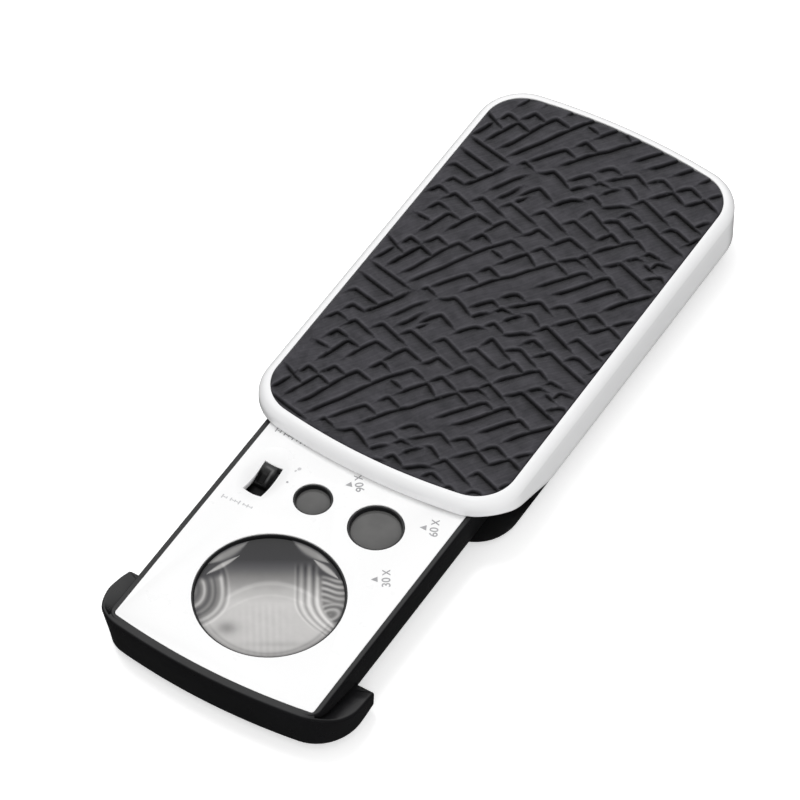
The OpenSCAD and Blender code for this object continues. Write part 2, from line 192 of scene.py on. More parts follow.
def finish_mesh(piece, material, body, node=None, *, sharp, weld=1e-4):
    if weld:
        clean(piece, weld)
    mesh = piece.data
    mesh.transform(Matrix.Scale(MM, 4))
    shade_smooth(mesh)
    mesh.set_sharp_from_angle(angle=radians(sharp))
    mesh.update()
    mesh.materials.clear()
    mesh.materials.append(material)
    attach(piece, body)
    if node:
        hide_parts(node)


def block(x0, x1, y0, y1, z0, z1):
    verts = [(x, y, z) for z in (z0, z1) for y in (y0, y1) for x in (x0, x1)]
    faces = [(0, 2, 3, 1), (4, 5, 7, 6), (0, 1, 5, 4), (1, 3, 7, 5), (3, 2, 6, 7), (2, 0, 4, 6)]
    return new_object("block", verts, faces, smooth=False)


def turned(name, at, profile, sides):
    """Solid of revolution about a vertical axis.

    The profile lists (radius, z) and either ends on the axis or closes on itself.
    """
    angles = np.linspace(0, 2 * np.pi, sides, endpoint=False)
    starts_on_axis, ends_on_axis = profile[0][0] < 1e-9, profile[-1][0] < 1e-9
    rings = profile[1 if starts_on_axis else 0: len(profile) - (1 if ends_on_axis else 0)]
    verts, faces = [], []
    for radius, z in rings:
        verts += [(at[0] + radius * cos(a), at[1] + radius * sin(a), z) for a in angles]
    following = [(i, (i + 1) % sides) for i in range(sides)]
    last = (len(rings) - 1) * sides
    for low in range(0, last, sides):
        high = low + sides
        faces += [(low + i, low + k, high + k, high + i) for i, k in following]
    if starts_on_axis:
        verts.append((*at, profile[0][1]))
        tip = len(verts) - 1
        faces += [(tip, k, i) for i, k in following]
    if ends_on_axis:
        verts.append((*at, profile[-1][1]))
        tip = len(verts) - 1
        faces += [(tip, last + i, last + k) for i, k in following]
    if not starts_on_axis and not ends_on_axis:
        faces += [(last + i, last + k, k, i) for i, k in following]
    return new_object(name, verts, faces)


def cylinder(at, radius, z0, z1, sides):
    return turned("cylinder", at, [(0, z0), (radius, z0), (radius, z1), (0, z1)], sides)


def prism(points, z0, z1, name="prism"):
    count = len(points)
    verts = [(x, y, z0) for x, y in points] + [(x, y, z1) for x, y in points]
    faces = [tuple(range(count - 1, -1, -1)), tuple(range(count, 2 * count))]
    for i in range(count):
        k = (i + 1) % count
        faces.append((i, k, count + k, count + i))
    return new_object(name, verts, faces, smooth=False)


def grid_block(name, x, y, z, bottom, tones):
    """Block whose top is a grid of points, with walls straight down to a flat bottom.

    tones maps an attribute name to (values on the grid, value on the bottom edge).
    """
    rows, columns = x.shape
    top = np.stack([x, y, z], -1).reshape(-1, 3)
    index = np.arange(rows * columns).reshape(rows, columns)
    quads = [index[:-1, :-1], index[:-1, 1:], index[1:, 1:], index[1:, :-1]]
    faces = np.stack(quads, -1).reshape(-1, 4).tolist()
    rim = np.concatenate([index[0, :-1], index[:-1, -1], index[-1, :0:-1], index[:0:-1, 0]])
    edge = top[rim].copy()
    edge[:, 2] = bottom
    base, count = len(top), len(rim)
    for i in range(count):
        k = (i + 1) % count
        faces.append([rim[i], base + i, base + k, rim[k]])
    faces.append([base + i for i in range(count - 1, -1, -1)])
    made = new_object(name, np.concatenate([top, edge]), faces)
    for tone, (values, edge_value) in tones.items():
        attribute = made.data.attributes.new(tone, "FLOAT", "POINT")
        values = np.concatenate([values.reshape(-1), np.full(count, edge_value)])
        attribute.data.foreach_set("value", values.astype(np.float32))
    return made


# ------------------------------------------------------------------ outlines and curves
def arc(x, y, radius, start, end, steps):
    angles = np.radians(np.linspace(start, end, steps + 1))
    return np.stack([x + radius * np.cos(angles), y + radius * np.sin(angles)], 1)


def outline(half, front, rear, corner, bow, inset=0.0, n_corner=22, n_end=44, n_side=90):
    """Rounded rectangle with bowed ends, moved in by inset."""
    half, corner = half - inset, corner - inset
    middle = half - corner  # x of the corner centres
    tilt = atan(2 * bow * half)
    tilt = atan(2 * bow * (half - corner + corner * sin(tilt)))
    tilt_deg = degrees(tilt)
    end_x = half - corner + corner * sin(tilt)
    front_y = front + inset + bow * end_x * end_x + corner * cos(tilt)
    rear_y = rear - inset - bow * end_x * end_x - corner * cos(tilt)
    side = np.linspace(0, 1, n_side + 1)[1:-1]
    across = np.linspace(end_x, -end_x, n_end + 1)[1:-1]
    flank = np.full(n_side - 1, half)
    return np.concatenate([
        arc(middle, front_y, corner, -90 + tilt_deg, 0, n_corner),
        np.stack([flank, front_y + (rear_y - front_y) * side], 1),
        arc(middle, rear_y, corner, 0, 90 - tilt_deg, n_corner),
        np.stack([across, rear - inset - bow * across * across], 1),
        arc(-middle, rear_y, corner, 90 + tilt_deg, 180, n_corner),
        np.stack([-flank, rear_y + (front_y - rear_y) * side], 1),
        arc(-middle, front_y, corner, 180, 270 - tilt_deg, n_corner),
        np.stack([-across, front + inset + bow * across * across], 1)])


def smoothed_curve(places, values, sigma):
    """Function that runs through the points, smoothed over a width sigma."""
    grid = np.linspace(places[0] - 4 * sigma, places[-1] + 4 * sigma, 4001)
    spacing = grid[1] - grid[0]
    reach = int(4 * sigma / spacing)
    kernel = np.exp(-0.5 * (np.arange(-reach, reach + 1) * spacing / sigma) ** 2)
    kernel /= kernel.sum()
    padded = np.pad(np.interp(grid, places, values), len(kernel) // 2, mode="edge")
    smooth = np.convolve(padded, kernel, mode="valid")
    return lambda at: np.interp(at, grid, smooth)


def step(x, start, end):
    """Soft step from 0 at start to 1 at end."""
    t = np.clip((x - start) / (end - start), 0, 1)
    return t * t * (3 - 2 * t)


# ------------------------------------------------------------------ shader helpers
def new_material(name):
    material = bpy.data.materials.new(name)
    material.use_nodes = True
    tree = material.node_tree
    return material, tree, tree.nodes["Principled BSDF"]


def feed(tree, socket, value):
    """Link an output to the socket, or set the socket's value."""
    if isinstance(value, bpy.types.NodeSocket):
        tree.links.new(value, socket)
    else:
        socket.default_value = value


def feed_all(tree, node, values):
    for key, value in values.items():
        feed(tree, node.inputs[key], value)


def noise(tree, per_mm, detail, rough=0.5, vector=None):
    texture = tree.nodes.new("ShaderNodeTexNoise")
    if vector is None:
        vector = tree.nodes.new("ShaderNodeTexCoord").outputs["Object"]
    feed_all(tree, texture, {"Scale": per_mm * 1000.0, "Detail": detail, "Roughness": rough,
                             "Vector": vector})
    return texture.outputs["Fac"]


def spread(tree, value, to=(0, 1), source=(0.3, 0.7)):
    """Map the source range of a value to another range."""
    node = tree.nodes.new("ShaderNodeMapRange")
    feed_all(tree, node, {"From Min": source[0], "From Max": source[1],
                          "To Min": to[0], "To Max": to[1], "Value": value})
    return node.outputs["Result"]


def mix(tree, factor, first, second, blend="MIX", kind="RGBA", clamp=True):
    node = tree.nodes.new("ShaderNodeMix")
    node.data_type = kind
    node.blend_type = blend
    node.clamp_factor = clamp
    feed_all(tree, node, {"Factor": factor, "A": first, "B": second})
    return node.outputs["Result"]


def mix_colour(tree, factor, dark, light):
    return mix(tree, factor, (*dark, 1), (*light, 1))


def attribute_of(tree, name, output="Fac"):
    node = tree.nodes.new("ShaderNodeAttribute")
    node.attribute_name = name
    return node.outputs[output]


def bump(tree, bsdf, height, depth_mm, strength=1.0):
    node = tree.nodes.new("ShaderNodeBump")
    feed_all(tree, node, {"Distance": depth_mm * MM, "Strength": strength, "Height": height})
    feed(tree, bsdf.inputs["Normal"], node.outputs["Normal"])


# ------------------------------------------------------------------ materials
def plastic(name, dark, light, rough, grain, grain_mm, spec=0.5, patch=0.05, coat=0.0):
    """Moulded plastic: fine grain, faint colour drift, uneven gloss.

    grain and patch are noise scales per mm, grain_mm is the depth of the grain.
    """
    material, tree, bsdf = new_material(name)
    drift = spread(tree, noise(tree, patch, detail=3))
    feed(tree, bsdf.inputs["Base Color"], mix_colour(tree, drift, dark, light))
    gloss = spread(tree, noise(tree, patch * 7, detail=5, rough=0.6), to=rough)
    feed_all(tree, bsdf, {"Roughness": gloss, "Specular IOR Level": spec, "IOR": 1.49,
                          "Coat Weight": coat, "Coat Roughness": 0.08})
    bump(tree, bsdf, noise(tree, grain, detail=3, rough=0.55), grain_mm)
    return material


def metal(name, dark, light, rough, brushed):
    """Metal with noise stretched along an axis; brushed scales the noise per axis."""
    material, tree, bsdf = new_material(name)
    coordinates = tree.nodes.new("ShaderNodeTexCoord")
    mapping = tree.nodes.new("ShaderNodeMapping")
    feed_all(tree, mapping, {"Scale": brushed, "Vector": coordinates.outputs["Object"]})
    grain = noise(tree, 1.6, detail=5, rough=0.6, vector=mapping.outputs["Vector"])
    colour = mix_colour(tree, spread(tree, grain), dark, light)
    feed_all(tree, bsdf, {"Base Color": colour, "Roughness": spread(tree, grain, to=rough),
                          "Metallic": 1.0})
    bump(tree, bsdf, grain, depth_mm=0.004)
    return material


def glass(name, tint, rough, ior):
    material, tree, bsdf = new_material(name)
    lighter = tuple(min(1, channel * 1.02) for channel in tint)
    colour = mix_colour(tree, spread(tree, noise(tree, 0.08, detail=2)), tint, lighter)
    gloss = spread(tree, noise(tree, 0.3, detail=3), to=(rough, rough + 0.012))
    feed_all(tree, bsdf, {"Base Color": colour, "Roughness": gloss, "Transmission Weight": 1.0,
                          "IOR": ior, "Specular IOR Level": 0.5})
    return material


def black_with_painted_sheen():
    """Black moulding with painted sheen and painted highlights, paler where the attribute "tone" is
    higher.
    """
    material, tree, bsdf = new_material("knob_black")
    tone = attribute_of(tree, "tone")
    black = mix_colour(tree, spread(tree, noise(tree, 0.6, detail=3)),
                       dark=(0.002, 0.002, 0.0022), light=(0.004, 0.004, 0.0045))
    # painted sheen and painted highlights from the "tone" attribute, added to the black
    colour = mix(tree, 1.0, black, tone, blend="ADD", clamp=False)
    gloss = spread(tree, noise(tree, 0.8, detail=5, rough=0.6), to=(0.34, 0.46))
    feed_all(tree, bsdf, {"Base Color": colour, "Roughness": gloss, "Specular IOR Level": 0.14})
    bump(tree, bsdf, noise(tree, 3.5, detail=3, rough=0.55), depth_mm=0.004)
    return material


def toned_lens():
    """Acrylic showing painted reflections, painted shade and a painted view through it: the tones
    worked out per point in lens_tone().
    """
    material, tree, bsdf = new_material("lens_view")
    tone = attribute_of(tree, "tone", "Color")
    haze = spread(tree, noise(tree, 0.5, detail=3), to=(0.97, 1.03))
    colour = mix(tree, 1.0, tone, haze, blend="MULTIPLY")
    feed_all(tree, bsdf, {"Base Color": colour, "Roughness": 0.04, "IOR": 1.49,
                          "Transmission Weight": 0.1, "Specular IOR Level": 0.4})
    return material


def leatherette():
    """Charcoal embossed leatherette: pore grain, lighter on sharp ridges, painted shade in the folds
    and painted highlights beside them.
    """
    material, tree, bsdf = new_material("pad_charcoal")
    geometry = tree.nodes.new("ShaderNodeNewGeometry")
    ridge = spread(tree, geometry.outputs["Pointiness"], source=(0.47, 0.53))
    drift = spread(tree, noise(tree, 0.28, detail=5, rough=0.62), source=(0.36, 0.64))
    colour = mix_colour(tree, drift, dark=(0.0195, 0.0188, 0.0226), light=(0.0395, 0.0378, 0.0443))
    # painted shade: the folds and the pad's side walls darkened
    colour = mix(tree, attribute_of(tree, "fold_shade"), colour, (0.002, 0.0019, 0.0024, 1))
    colour = mix(tree, ridge, colour, (0.012, 0.012, 0.013, 1), blend="ADD")
    # painted highlights beside the folds, with random paleness per slat and the crease lines
    colour = mix(tree, attribute_of(tree, "raised"), colour, (0.021, 0.0202, 0.023, 1),
                 blend="ADD", clamp=False)
    gloss = spread(tree, noise(tree, 1.1, detail=5, rough=0.65), to=(0.5, 0.66))
    feed_all(tree, bsdf, {"Base Color": colour, "Roughness": gloss, "Specular IOR Level": 0.22,
                          "Sheen Weight": 0.08, "Sheen Roughness": 0.5})
    cells = tree.nodes.new("ShaderNodeTexVoronoi")
    cells.feature = "DISTANCE_TO_EDGE"
    coordinates = tree.nodes.new("ShaderNodeTexCoord")
    feed_all(tree, cells, {"Scale": 3400, "Vector": coordinates.outputs["Object"]})
    pores = spread(tree, cells.outputs["Distance"], source=(0.0, 0.12))
    height = tree.nodes.new("ShaderNodeMath")
    height.operation = "MULTIPLY_ADD"
    pore_share = 0.35
    feed_all(tree, height, {0: pores, 1: pore_share, 2: noise(tree, 2.4, detail=5, rough=0.6)})
    bump(tree, bsdf, height.outputs["Value"], depth_mm=0.03, strength=0.6)
    return material


WHITE = plastic("cover_white", dark=(0.80, 0.80, 0.805), light=(0.84, 0.84, 0.845),
                rough=(0.12, 0.2), grain=0.6, grain_mm=0.002, patch=0.03, coat=0.25)
PLATE_WHITE = plastic("plate_white", dark=(0.86, 0.86, 0.862), light=(0.88, 0.88, 0.88),
                      rough=(0.26, 0.34), grain=2.0, grain_mm=0.002, patch=0.03)
TRAY_BLACK = plastic("tray_black", dark=(0.0045, 0.0045, 0.005), light=(0.007, 0.007, 0.0078),
                     rough=(0.26, 0.36), grain=4.0, grain_mm=0.006)
SHELL_BLACK = plastic("shell_black", dark=(0.004, 0.004, 0.0045), light=(0.007, 0.007, 0.0075),
                      rough=(0.42, 0.55), grain=3.2, grain_mm=0.016, spec=0.4, patch=0.06)
KNOB_BLACK = black_with_painted_sheen()
PART_BLACK = plastic("component_black", dark=(0.02, 0.02, 0.02), light=(0.035, 0.035, 0.034),
                     rough=(0.35, 0.5), grain=4.0, grain_mm=0.01)
BOARD_GREEN = plastic("board_green", dark=(0.012, 0.10, 0.035), light=(0.02, 0.14, 0.05),
                      rough=(0.2, 0.35), grain=1.5, grain_mm=0.01, patch=0.3, coat=0.3)
INK = plastic("print_grey", dark=(0.30, 0.30, 0.31), light=(0.40, 0.40, 0.41),
              rough=(0.4, 0.5), grain=6.0, grain_mm=0.002, spec=0.3, patch=0.6)
INK_PALE = plastic("print_pale", dark=(0.50, 0.50, 0.51), light=(0.58, 0.58, 0.59),
                   rough=(0.4, 0.5), grain=6.0, grain_mm=0.002, spec=0.3, patch=0.6)
STEEL = metal("steel", dark=(0.55, 0.55, 0.56), light=(0.68, 0.68, 0.69),
              rough=(0.2, 0.34), brushed=(1, 6, 1))
CELL_STEEL = metal("cell_steel", dark=(0.62, 0.62, 0.62), light=(0.74, 0.74, 0.73),
                   rough=(0.16, 0.3), brushed=(5, 1, 1))
BRASS = metal("contact_brass", dark=(0.66, 0.47, 0.20), light=(0.78, 0.6, 0.3),
              rough=(0.2, 0.35), brushed=(1, 5, 1))
WIRE_RED = plastic("wire_sleeve", dark=(0.38, 0.012, 0.012), light=(0.5, 0.02, 0.02),
                   rough=(0.3, 0.42), grain=1.2, grain_mm=0.006)
LENS_CLEAR = glass("lens_clear", tint=(0.97, 0.985, 0.98), rough=0.0, ior=1.49)
LENS_VIEW = toned_lens()
# painted shade: the eyepiece lenses are opaque grey, standing for the dark view down their barrels
LENS_DARK = plastic("lens_dark", dark=(0.088, 0.087, 0.086), light=(0.108, 0.107, 0.105),
                    rough=(0.06, 0.1), grain=0.5, grain_mm=0.001, spec=0.35, patch=0.25)
LAMP_CLEAR = glass("lamp_clear", tint=(0.95, 0.9, 0.62), rough=0.06, ior=1.5)
LAMP_VIOLET = glass("lamp_violet", tint=(0.72, 0.6, 0.95), rough=0.06, ior=1.5)
PAD_CHARCOAL = leatherette()

# ------------------------------------------------------------------ sleeve cover
SKIRT_Z, CEILING_Z, WALL = 4.15, 11.8, 1.5
RECESS_Z = COVER_TOP - 1.2  # floor of the recess for the pad
SHOULDER_Z = COVER_TOP - 2.15  # where the rounding of the top edge starts
# height of the lower edge towards the front: y, then z
LOW_EDGE = smoothed_curve(
    [-52, -48.6, -47.3, -45.4, -43.4, -39.6, -35.8, -33.0, -31.2, -29.6, -28.5, -20],
    [10.6, 10.6, 10.42, 9.95, 9.2, 7.75, 6.5, 5.45, 4.75, 4.22, SKIRT_Z, SKIRT_Z], sigma=0.55)
# rounding of the lower edge: inset, height above it
LOW_EDGE_ROUND = [(1.5, 0.22), (1.44, 0.07), (1.3, 0.0), (0.42, 0.0), (0.2, 0.05), (0.06, 0.2),
                  (0.0, 0.45)]
# edge of the pad recess: gap round the pad, z
RECESS_EDGE = [(0.1, COVER_TOP - 0.02), (0.06, COVER_TOP - 0.08), (0.05, COVER_TOP - 0.2),
               (0.05, RECESS_Z)]
FRONT_BOSS, REAR_BOSS = (25.15, -30.8), (21.6, 46.0)
BOSS_TOP, BOSS_HOLE = 12.1, 0.7


def cover_outline(inset=0.0):
    return outline(COVER_HALF, COVER_FRONT, COVER_REAR, 10.5, COVER_BOW, inset)


def make_cover():
    base, inner = cover_outline(), cover_outline(WALL)
    low = np.where(base[:, 1] > -20, SKIRT_Z, LOW_EDGE(base[:, 1]))
    rings = [level(inner, CEILING_Z), level(inner, low * 0.5 + CEILING_Z * 0.5)]
    rings += [level(cover_outline(inset), low + rise) for inset, rise in LOW_EDGE_ROUND]
    for t in (0.2, 0.4, 0.6, 0.8):
        rings.append(level(base, (low + 0.45) * (1 - t) + SHOULDER_Z * t))
    for angle in np.linspace(0, 90, 13):
        inset = 2.0 * (1 - cos(radians(angle))) ** 0.95
        rings.append(level(cover_outline(inset), SHOULDER_Z + 2.15 * sin(radians(angle))))
    for gap, z in RECESS_EDGE:
        edge = outline(PAD_HALF + gap, PAD_FRONT - gap, PAD_REAR + gap, PAD_CORNER + gap, PAD_BOW)
        rings.append(level(edge, z))
    shell = new_object("cover_shell", *skin(rings))
    for side in (-1, 1):
        front, rear = [(side * x, y) for x, y in (FRONT_BOSS, REAR_BOSS)]
        fuse(shell, cylinder(front, 1.25, 8.2, BOSS_TOP, 32), cylinder(rear, 1.6, 4.2, BOSS_TOP, 32))
        cut(shell, cylinder(front, BOSS_HOLE, 7.0, 11.0, 24), cylinder(rear, BOSS_HOLE, 3.0, 9.5, 24))
    finish_mesh(shell, WHITE, "sleeve", "top_cover", sharp=30)


make_cover()

# ------------------------------------------------------------------ embossed pad
# Folds of the embossing in plan, each x, y, x, y, ... It runs up the left side of a slat and
# along its far end. The slat lies to the right of the direction of travel: lowest at the fold,
# rising away from it.
FOLDS = [
    [-26.6, 32.5, -16.6, 30.4], [-26.6, 28.7, -18.3, 26.8], [-26.4, 23.3, -25.5, 24.6, -19.7, 23.4],
    [-20.9, 20.2, -18.8, 23.8, -16.9, 27.1, -15.9, 29.3], [-24.6, 19.1, -23.8, 20.9, -20.9, 20.4],
    [-26.4, 15.2, -25.1, 17.7, -23.0, 17.1], [-22.6, 15.2, -21.2, 17.7, -16.1, 16.0],
    [-23.9, 11.1, -22.8, 13.7, -20.2, 13.1], [-22.0, 5.2, -20.8, 8.7, -19.6, 12.5, -17.2, 12.1],
    [-24.9, 8.9, -22.2, 8.8], [-17.4, 8.5, -16.1, 12.1, -14.5, 15.2, -10.8, 14.4],
    [-15.7, 21.8, -14.1, 24.9, -13.0, 27.1, -11.5, 29.1], [-17.1, 17.7, -15.9, 19.6, -9.7, 17.5],
    [-11.4, 19.1, -10.2, 21.1, -3.3, 18.9], [-9.9, 23.7, -8.6, 26.0, -7.2, 27.9, -3.6, 26.2],
    [-2.7, 24.8, -1.4, 27.0, 0.1, 28.7, 2.0, 29.3], [-4.7, 20.7, -3.4, 22.8, 3.1, 20.1],
    [-4.1, 14.6, -2.7, 16.3, -2.0, 18.1, 1.7, 17.0], [-10.7, 11.6, -9.8, 14.3, -8.6, 16.6, -4.4, 15.4],
    [-12.1, 8.5, -10.8, 11.2, -8.6, 10.1],
    [-19.4, -6.2, -18.0, -3.7, -16.6, 0.2, -15.1, 4.3, -13.7, 6.7, -10.3, 5.9],
    [-16.6, -7.3, -14.7, -3.7, -12.9, -0.7, -11.2, 2.8, -9.5, 6.0, -7.9, 8.7, -6.1, 10.9,
     -4.8, 12.8, -1.9, 11.9],
    [-7.3, 8.5, -4.4, 7.7], [-4.2, 5.7, -2.7, 8.3, -0.5, 11.4, 2.4, 9.3],
    [-6.2, 2.1, -5.1, 4.2, -2.0, 3.0], [-12.3, -6.5, -10.7, -3.9, -8.8, -1.2, -7.6, 0.3, -5.1, -0.6],
    [-6.2, -4.1, -4.4, -1.2, -2.7, 1.4, -1.3, 3.1, 0.1, 4.4, 1.7, 6.9, 3.4, 9.1, 4.8, 11.0,
     5.8, 12.3, 9.1, 10.7],
    [-19.6, 2.8, -18.8, 4.1, -18.1, 5.6, -15.3, 4.7], [-23.4, 0.4, -22.7, 2.8, -20.5, 2.2],
    [-26.6, 0.6, -22.0, -1.5], [-25.9, -5.9, -24.8, -3.2, -24.0, -0.4],
    [-22.7, -5.9, -21.8, -3.2, -20.8, -0.9, -19.8, 1.8, -16.6, 0.7],
    [-2.8, -6.8, -1.4, -4.8, 0.1, -3.0, 1.7, -3.7],
    [-9.7, 31.0, -8.4, 31.8, -7.2, 33.1, -4.7, 32.1, -2.2, 30.6], [-2.0, 30.4, -0.8, 32.0, 0.3, 32.9],
    [-14.1, 31.3, -13.4, 32.4, -11.3, 31.6], [1.7, 29.8, 2.8, 31.6, 5.3, 30.4],
    [5.9, 29.6, 7.6, 30.9, 9.1, 32.2, 10.9, 32.8], [10.5, 29.8, 11.6, 31.8, 14.2, 30.9],
    [14.1, 27.8, 15.1, 29.1, 16.3, 30.6, 19.8, 29.2, 26.2, 27.1],
    [19.8, 30.4, 20.8, 32.0, 22.0, 32.2, 25.8, 30.8], [25.2, 29.6, 26.2, 31.4, 27.1, 33.2],
    [3.8, 25.2, 4.7, 27.9, 10.3, 25.1], [8.1, 26.2, 9.1, 27.4, 10.7, 28.4, 15.4, 26.2],
    [1.7, 21.8, 3.2, 23.9, 9.5, 21.7], [9.5, 21.4, 10.4, 23.2, 11.3, 24.7, 14.2, 23.3],
    [10.9, 18.2, 11.6, 19.8, 13.2, 21.6, 14.7, 23.5, 15.9, 24.9, 16.9, 25.6, 19.3, 24.3],
    [19.5, 22.9, 20.2, 24.1, 22.6, 23.9], [17.4, 20.0, 18.9, 21.7, 20.1, 21.8],
    [20.9, 21.1, 23.2, 20.4], [22.7, 20.6, 23.2, 22.9, 25.9, 23.0],
    [2.2, 15.2, 3.2, 17.0, 4.7, 19.2, 8.7, 18.1], [8.9, 15.4, 9.9, 17.5, 14.7, 15.4],
    [6.0, 12.7, 7.6, 14.3, 8.8, 15.3, 10.9, 14.6], [-0.1, 11.8, 1.3, 14.1, 5.1, 12.6],
    [5.7, 4.6, 7.6, 7.4, 9.8, 10.3, 11.3, 12.4, 12.1, 13.0, 13.7, 12.4],
    [9.3, 4.6, 10.9, 6.4, 12.7, 8.9, 14.3, 11.4, 15.6, 13.4, 16.6, 14.3, 18.6, 13.1],
    [14.7, 5.7, 16.4, 8.1, 18.1, 10.6, 19.9, 12.8, 22.4, 11.7],
    [20.2, 6.3, 21.4, 8.5, 23.0, 10.8, 24.7, 12.7, 26.7, 15.2],
    [14.1, 16.4, 15.4, 17.6, 16.6, 19.0, 25.4, 15.9],
    [23.0, 17.5, 24.4, 19.2, 25.8, 19.8, 26.7, 18.9], [1.0, -1.5, 2.3, 0.3, 3.4, 1.0, 4.8, 0.6],
    [3.8, -2.8, 5.4, -1.1, 7.1, 0.6, 8.4, 1.8, 11.7, 0.2],
    [11.1, 1.0, 12.3, 2.6, 13.5, 3.4, 16.2, 2.1], [13.6, -2.4, 15.2, -0.4, 16.8, 1.6, 20.4, -0.2],
    [17.3, 2.0, 18.4, 3.7, 19.5, 4.5, 22.3, 3.3], [20.3, -0.6, 21.7, 1.0, 23.3, 3.2, 26.7, 1.7],
    [23.8, 3.9, 25.1, 5.6, 26.4, 6.7], [1.8, -5.2, 2.7, -3.7, 4.5, -3.8],
    [4.8, -6.5, 5.6, -4.8, 6.9, -3.7], [7.6, -2.6, 8.7, -2.2, 11.2, -3.7],
    [11.3, -5.8, 12.8, -3.3, 19.9, -6.2], [18.8, -4.6, 19.7, -2.7, 26.7, -5.1],
    [25.3, -4.1, 26.3, -2.3, 27.0, -1.8], [-13.3, 20.7, -11.9, 23.2, -11.0, 25.6],
    [-9.7, 22.1, -8.4, 24.3],
]
REPEAT = np.array([0.55, -39.3])  # offset from one copy of the pattern to the next


def soften(points):
    """A fold with its corners cut."""
    soft = [points[0]]
    for before, corner, after in zip(points, points[1:], points[2:]):
        back_length, on_length = np.linalg.norm(before - corner), np.linalg.norm(after - corner)
        back, onward = (before - corner) / back_length, (after - corner) / on_length
        reach = min(0.55, 0.3 * back_length, 0.3 * on_length)
        soft += [corner + back * reach, corner + (back + onward) * reach * 0.25,
                 corner + onward * reach]
    soft.append(points[-1])
    return np.array(soft)


def nearest(line, lengths, x, y):
    """Distance to a line, side of it (right is positive) and length along it."""
    best = np.full(len(x), 1e9)
    side, along = np.zeros(len(x)), np.zeros(len(x))
    run = 0.0
    for (x0, y0), (x1, y1), length in zip(line[:-1], line[1:], lengths):
        dir_x, dir_y = (x1 - x0) / length, (y1 - y0) / length
        t = np.clip((x - x0) * dir_x + (y - y0) * dir_y, 0, length)
        off_x, off_y = x - x0 - t * dir_x, y - y0 - t * dir_y
        distance = np.hypot(off_x, off_y)
        nearer = distance < best
        best = np.where(nearer, distance, best)
        side = np.where(nearer, off_x * dir_y - off_y * dir_x, side)
        along = np.where(nearer, run + t, along)
        run += length
    return best, side, along


def emboss(grid_x, grid_y):
    """Depth of the embossing, painted shade along the folds, and painted highlights plus random
    paleness of the slats, on a grid.
    """
    rng = np.random.default_rng(5)
    all_x, all_y = grid_x.ravel(), grid_y.ravel()
    depth, dark, lit, tint = (np.zeros(all_x.size) for _ in range(4))
    order = np.argsort(all_y, kind="stable")
    sorted_y = all_y[order]
    for copy in (-1, 0, 1, 2):
        for fold in FOLDS:
            points = np.reshape(fold, (-1, 2)) + REPEAT * copy + rng.uniform(-0.12, 0.12, 2)
            gain = rng.uniform(0.85, 1.15)
            slope = rng.uniform(0.42, 0.66) if len(points) > 2 else rng.uniform(0.2, 0.35)
            shade = rng.uniform(-0.5, 0.45)
            reach = rng.uniform(2.0, 2.9)
            if points[:, 1].max() < -53 or points[:, 1].min() > 53:
                continue
            line = soften(points)
            lengths = np.linalg.norm(np.diff(line, axis=0), axis=1)
            total = lengths.sum()
            far_end = 0.85 if total > 5 else 0.6
            (min_x, min_y), (max_x, max_y) = line.min(axis=0), line.max(axis=0)
            near = order[np.searchsorted(sorted_y, min_y - 3.2):np.searchsorted(sorted_y, max_y + 1.0)]
            near = near[(all_x[near] > min_x - 1.0) & (all_x[near] < max_x + 3.2)]
            if not len(near):
                continue
            best, side, along = nearest(line, lengths, all_x[near], all_y[near])
            fade = np.clip(0.25 + along / min(0.30 * total, 2.2), 0, 1) ** 0.8
            tail = 1 - np.clip((total - along) / min(0.28 * total, 1.4), 0, 1)
            fade *= 1 - tail * far_end * 0.6
            inside = side > 0
            ramp = 1 - step(best, 0.15, reach)
            sunk = np.where(inside, 0.5 * np.exp(-(best / 0.42) ** 1.4) + 0.5 * ramp,
                            1.12 * np.exp(-(best / 0.17) ** 2)
                            - 0.16 * np.exp(-((best - 0.3) / 0.35) ** 2)) * fade * gain
            # painted shade: dark along the fold and down the slat's ramp away from it
            shadow = np.where(inside, (1 - slope) * np.exp(-(best / 0.44) ** 1.8) + slope * ramp,
                              np.exp(-(best / 0.24) ** 2))
            depth[near] = np.where(np.abs(sunk) > np.abs(depth[near]), sunk, depth[near])
            dark[near] = np.maximum(dark[near], shadow * fade)
            tint[near] += shade * np.where(inside, np.exp(-(best / 2.4) ** 2), 0) * fade
            # painted highlight on the high side of the fold
            glow = np.where(inside, 0, np.exp(-((best - 0.62) / 0.36) ** 2)) * fade
            lit[near] = np.maximum(lit[near], glow)
    lit *= 1 - step(dark, 0.1, 0.5)
    raised = 0.55 * lit + 0.55 * np.clip(tint, -1, 1)
    return [values.reshape(grid_x.shape) for values in (depth, np.clip(dark, 0, 1), raised)]


def creases(x, y):
    """Faint lines pressed along the slats."""
    turn = radians(57)
    along = x * cos(turn) + y * sin(turn)
    across = -x * sin(turn) + y * cos(turn)
    across = across + 0.5 * np.sin(along / 7.0) + 0.25 * np.sin(along / 3.1 + across / 4.0)
    return (0.012 * np.sin(across * 5.2 + 1.3 * np.sin(along / 3.7))
            + 0.010 * np.sin(across * 8.7 + 2.1 * np.sin(along / 2.9 + 1.0))
            + 0.02 * np.sin(x / 2.3 + np.sin(y / 3.1)) * np.sin(y / 2.9))


def edge_distance(x, y, half, front, rear):
    """Distance inwards from the pad's outline."""
    corner_x = half - PAD_CORNER
    to_side = half - np.abs(x)
    to_end = np.minimum(y - (front + PAD_BOW * x * x), rear - PAD_BOW * x * x - y)
    front_centre = front + PAD_BOW * corner_x * corner_x + PAD_CORNER
    rear_centre = rear - PAD_BOW * corner_x * corner_x - PAD_CORNER
    over_x = np.abs(x) - corner_x
    over_y = np.maximum(front_centre - y, y - rear_centre)
    to_corner = PAD_CORNER - np.hypot(np.maximum(over_x, 0), np.maximum(over_y, 0))
    in_corner = (over_x > 0) & (over_y > 0)
    return np.clip(np.where(in_corner, to_corner, np.minimum(to_side, to_end)), 0, None)


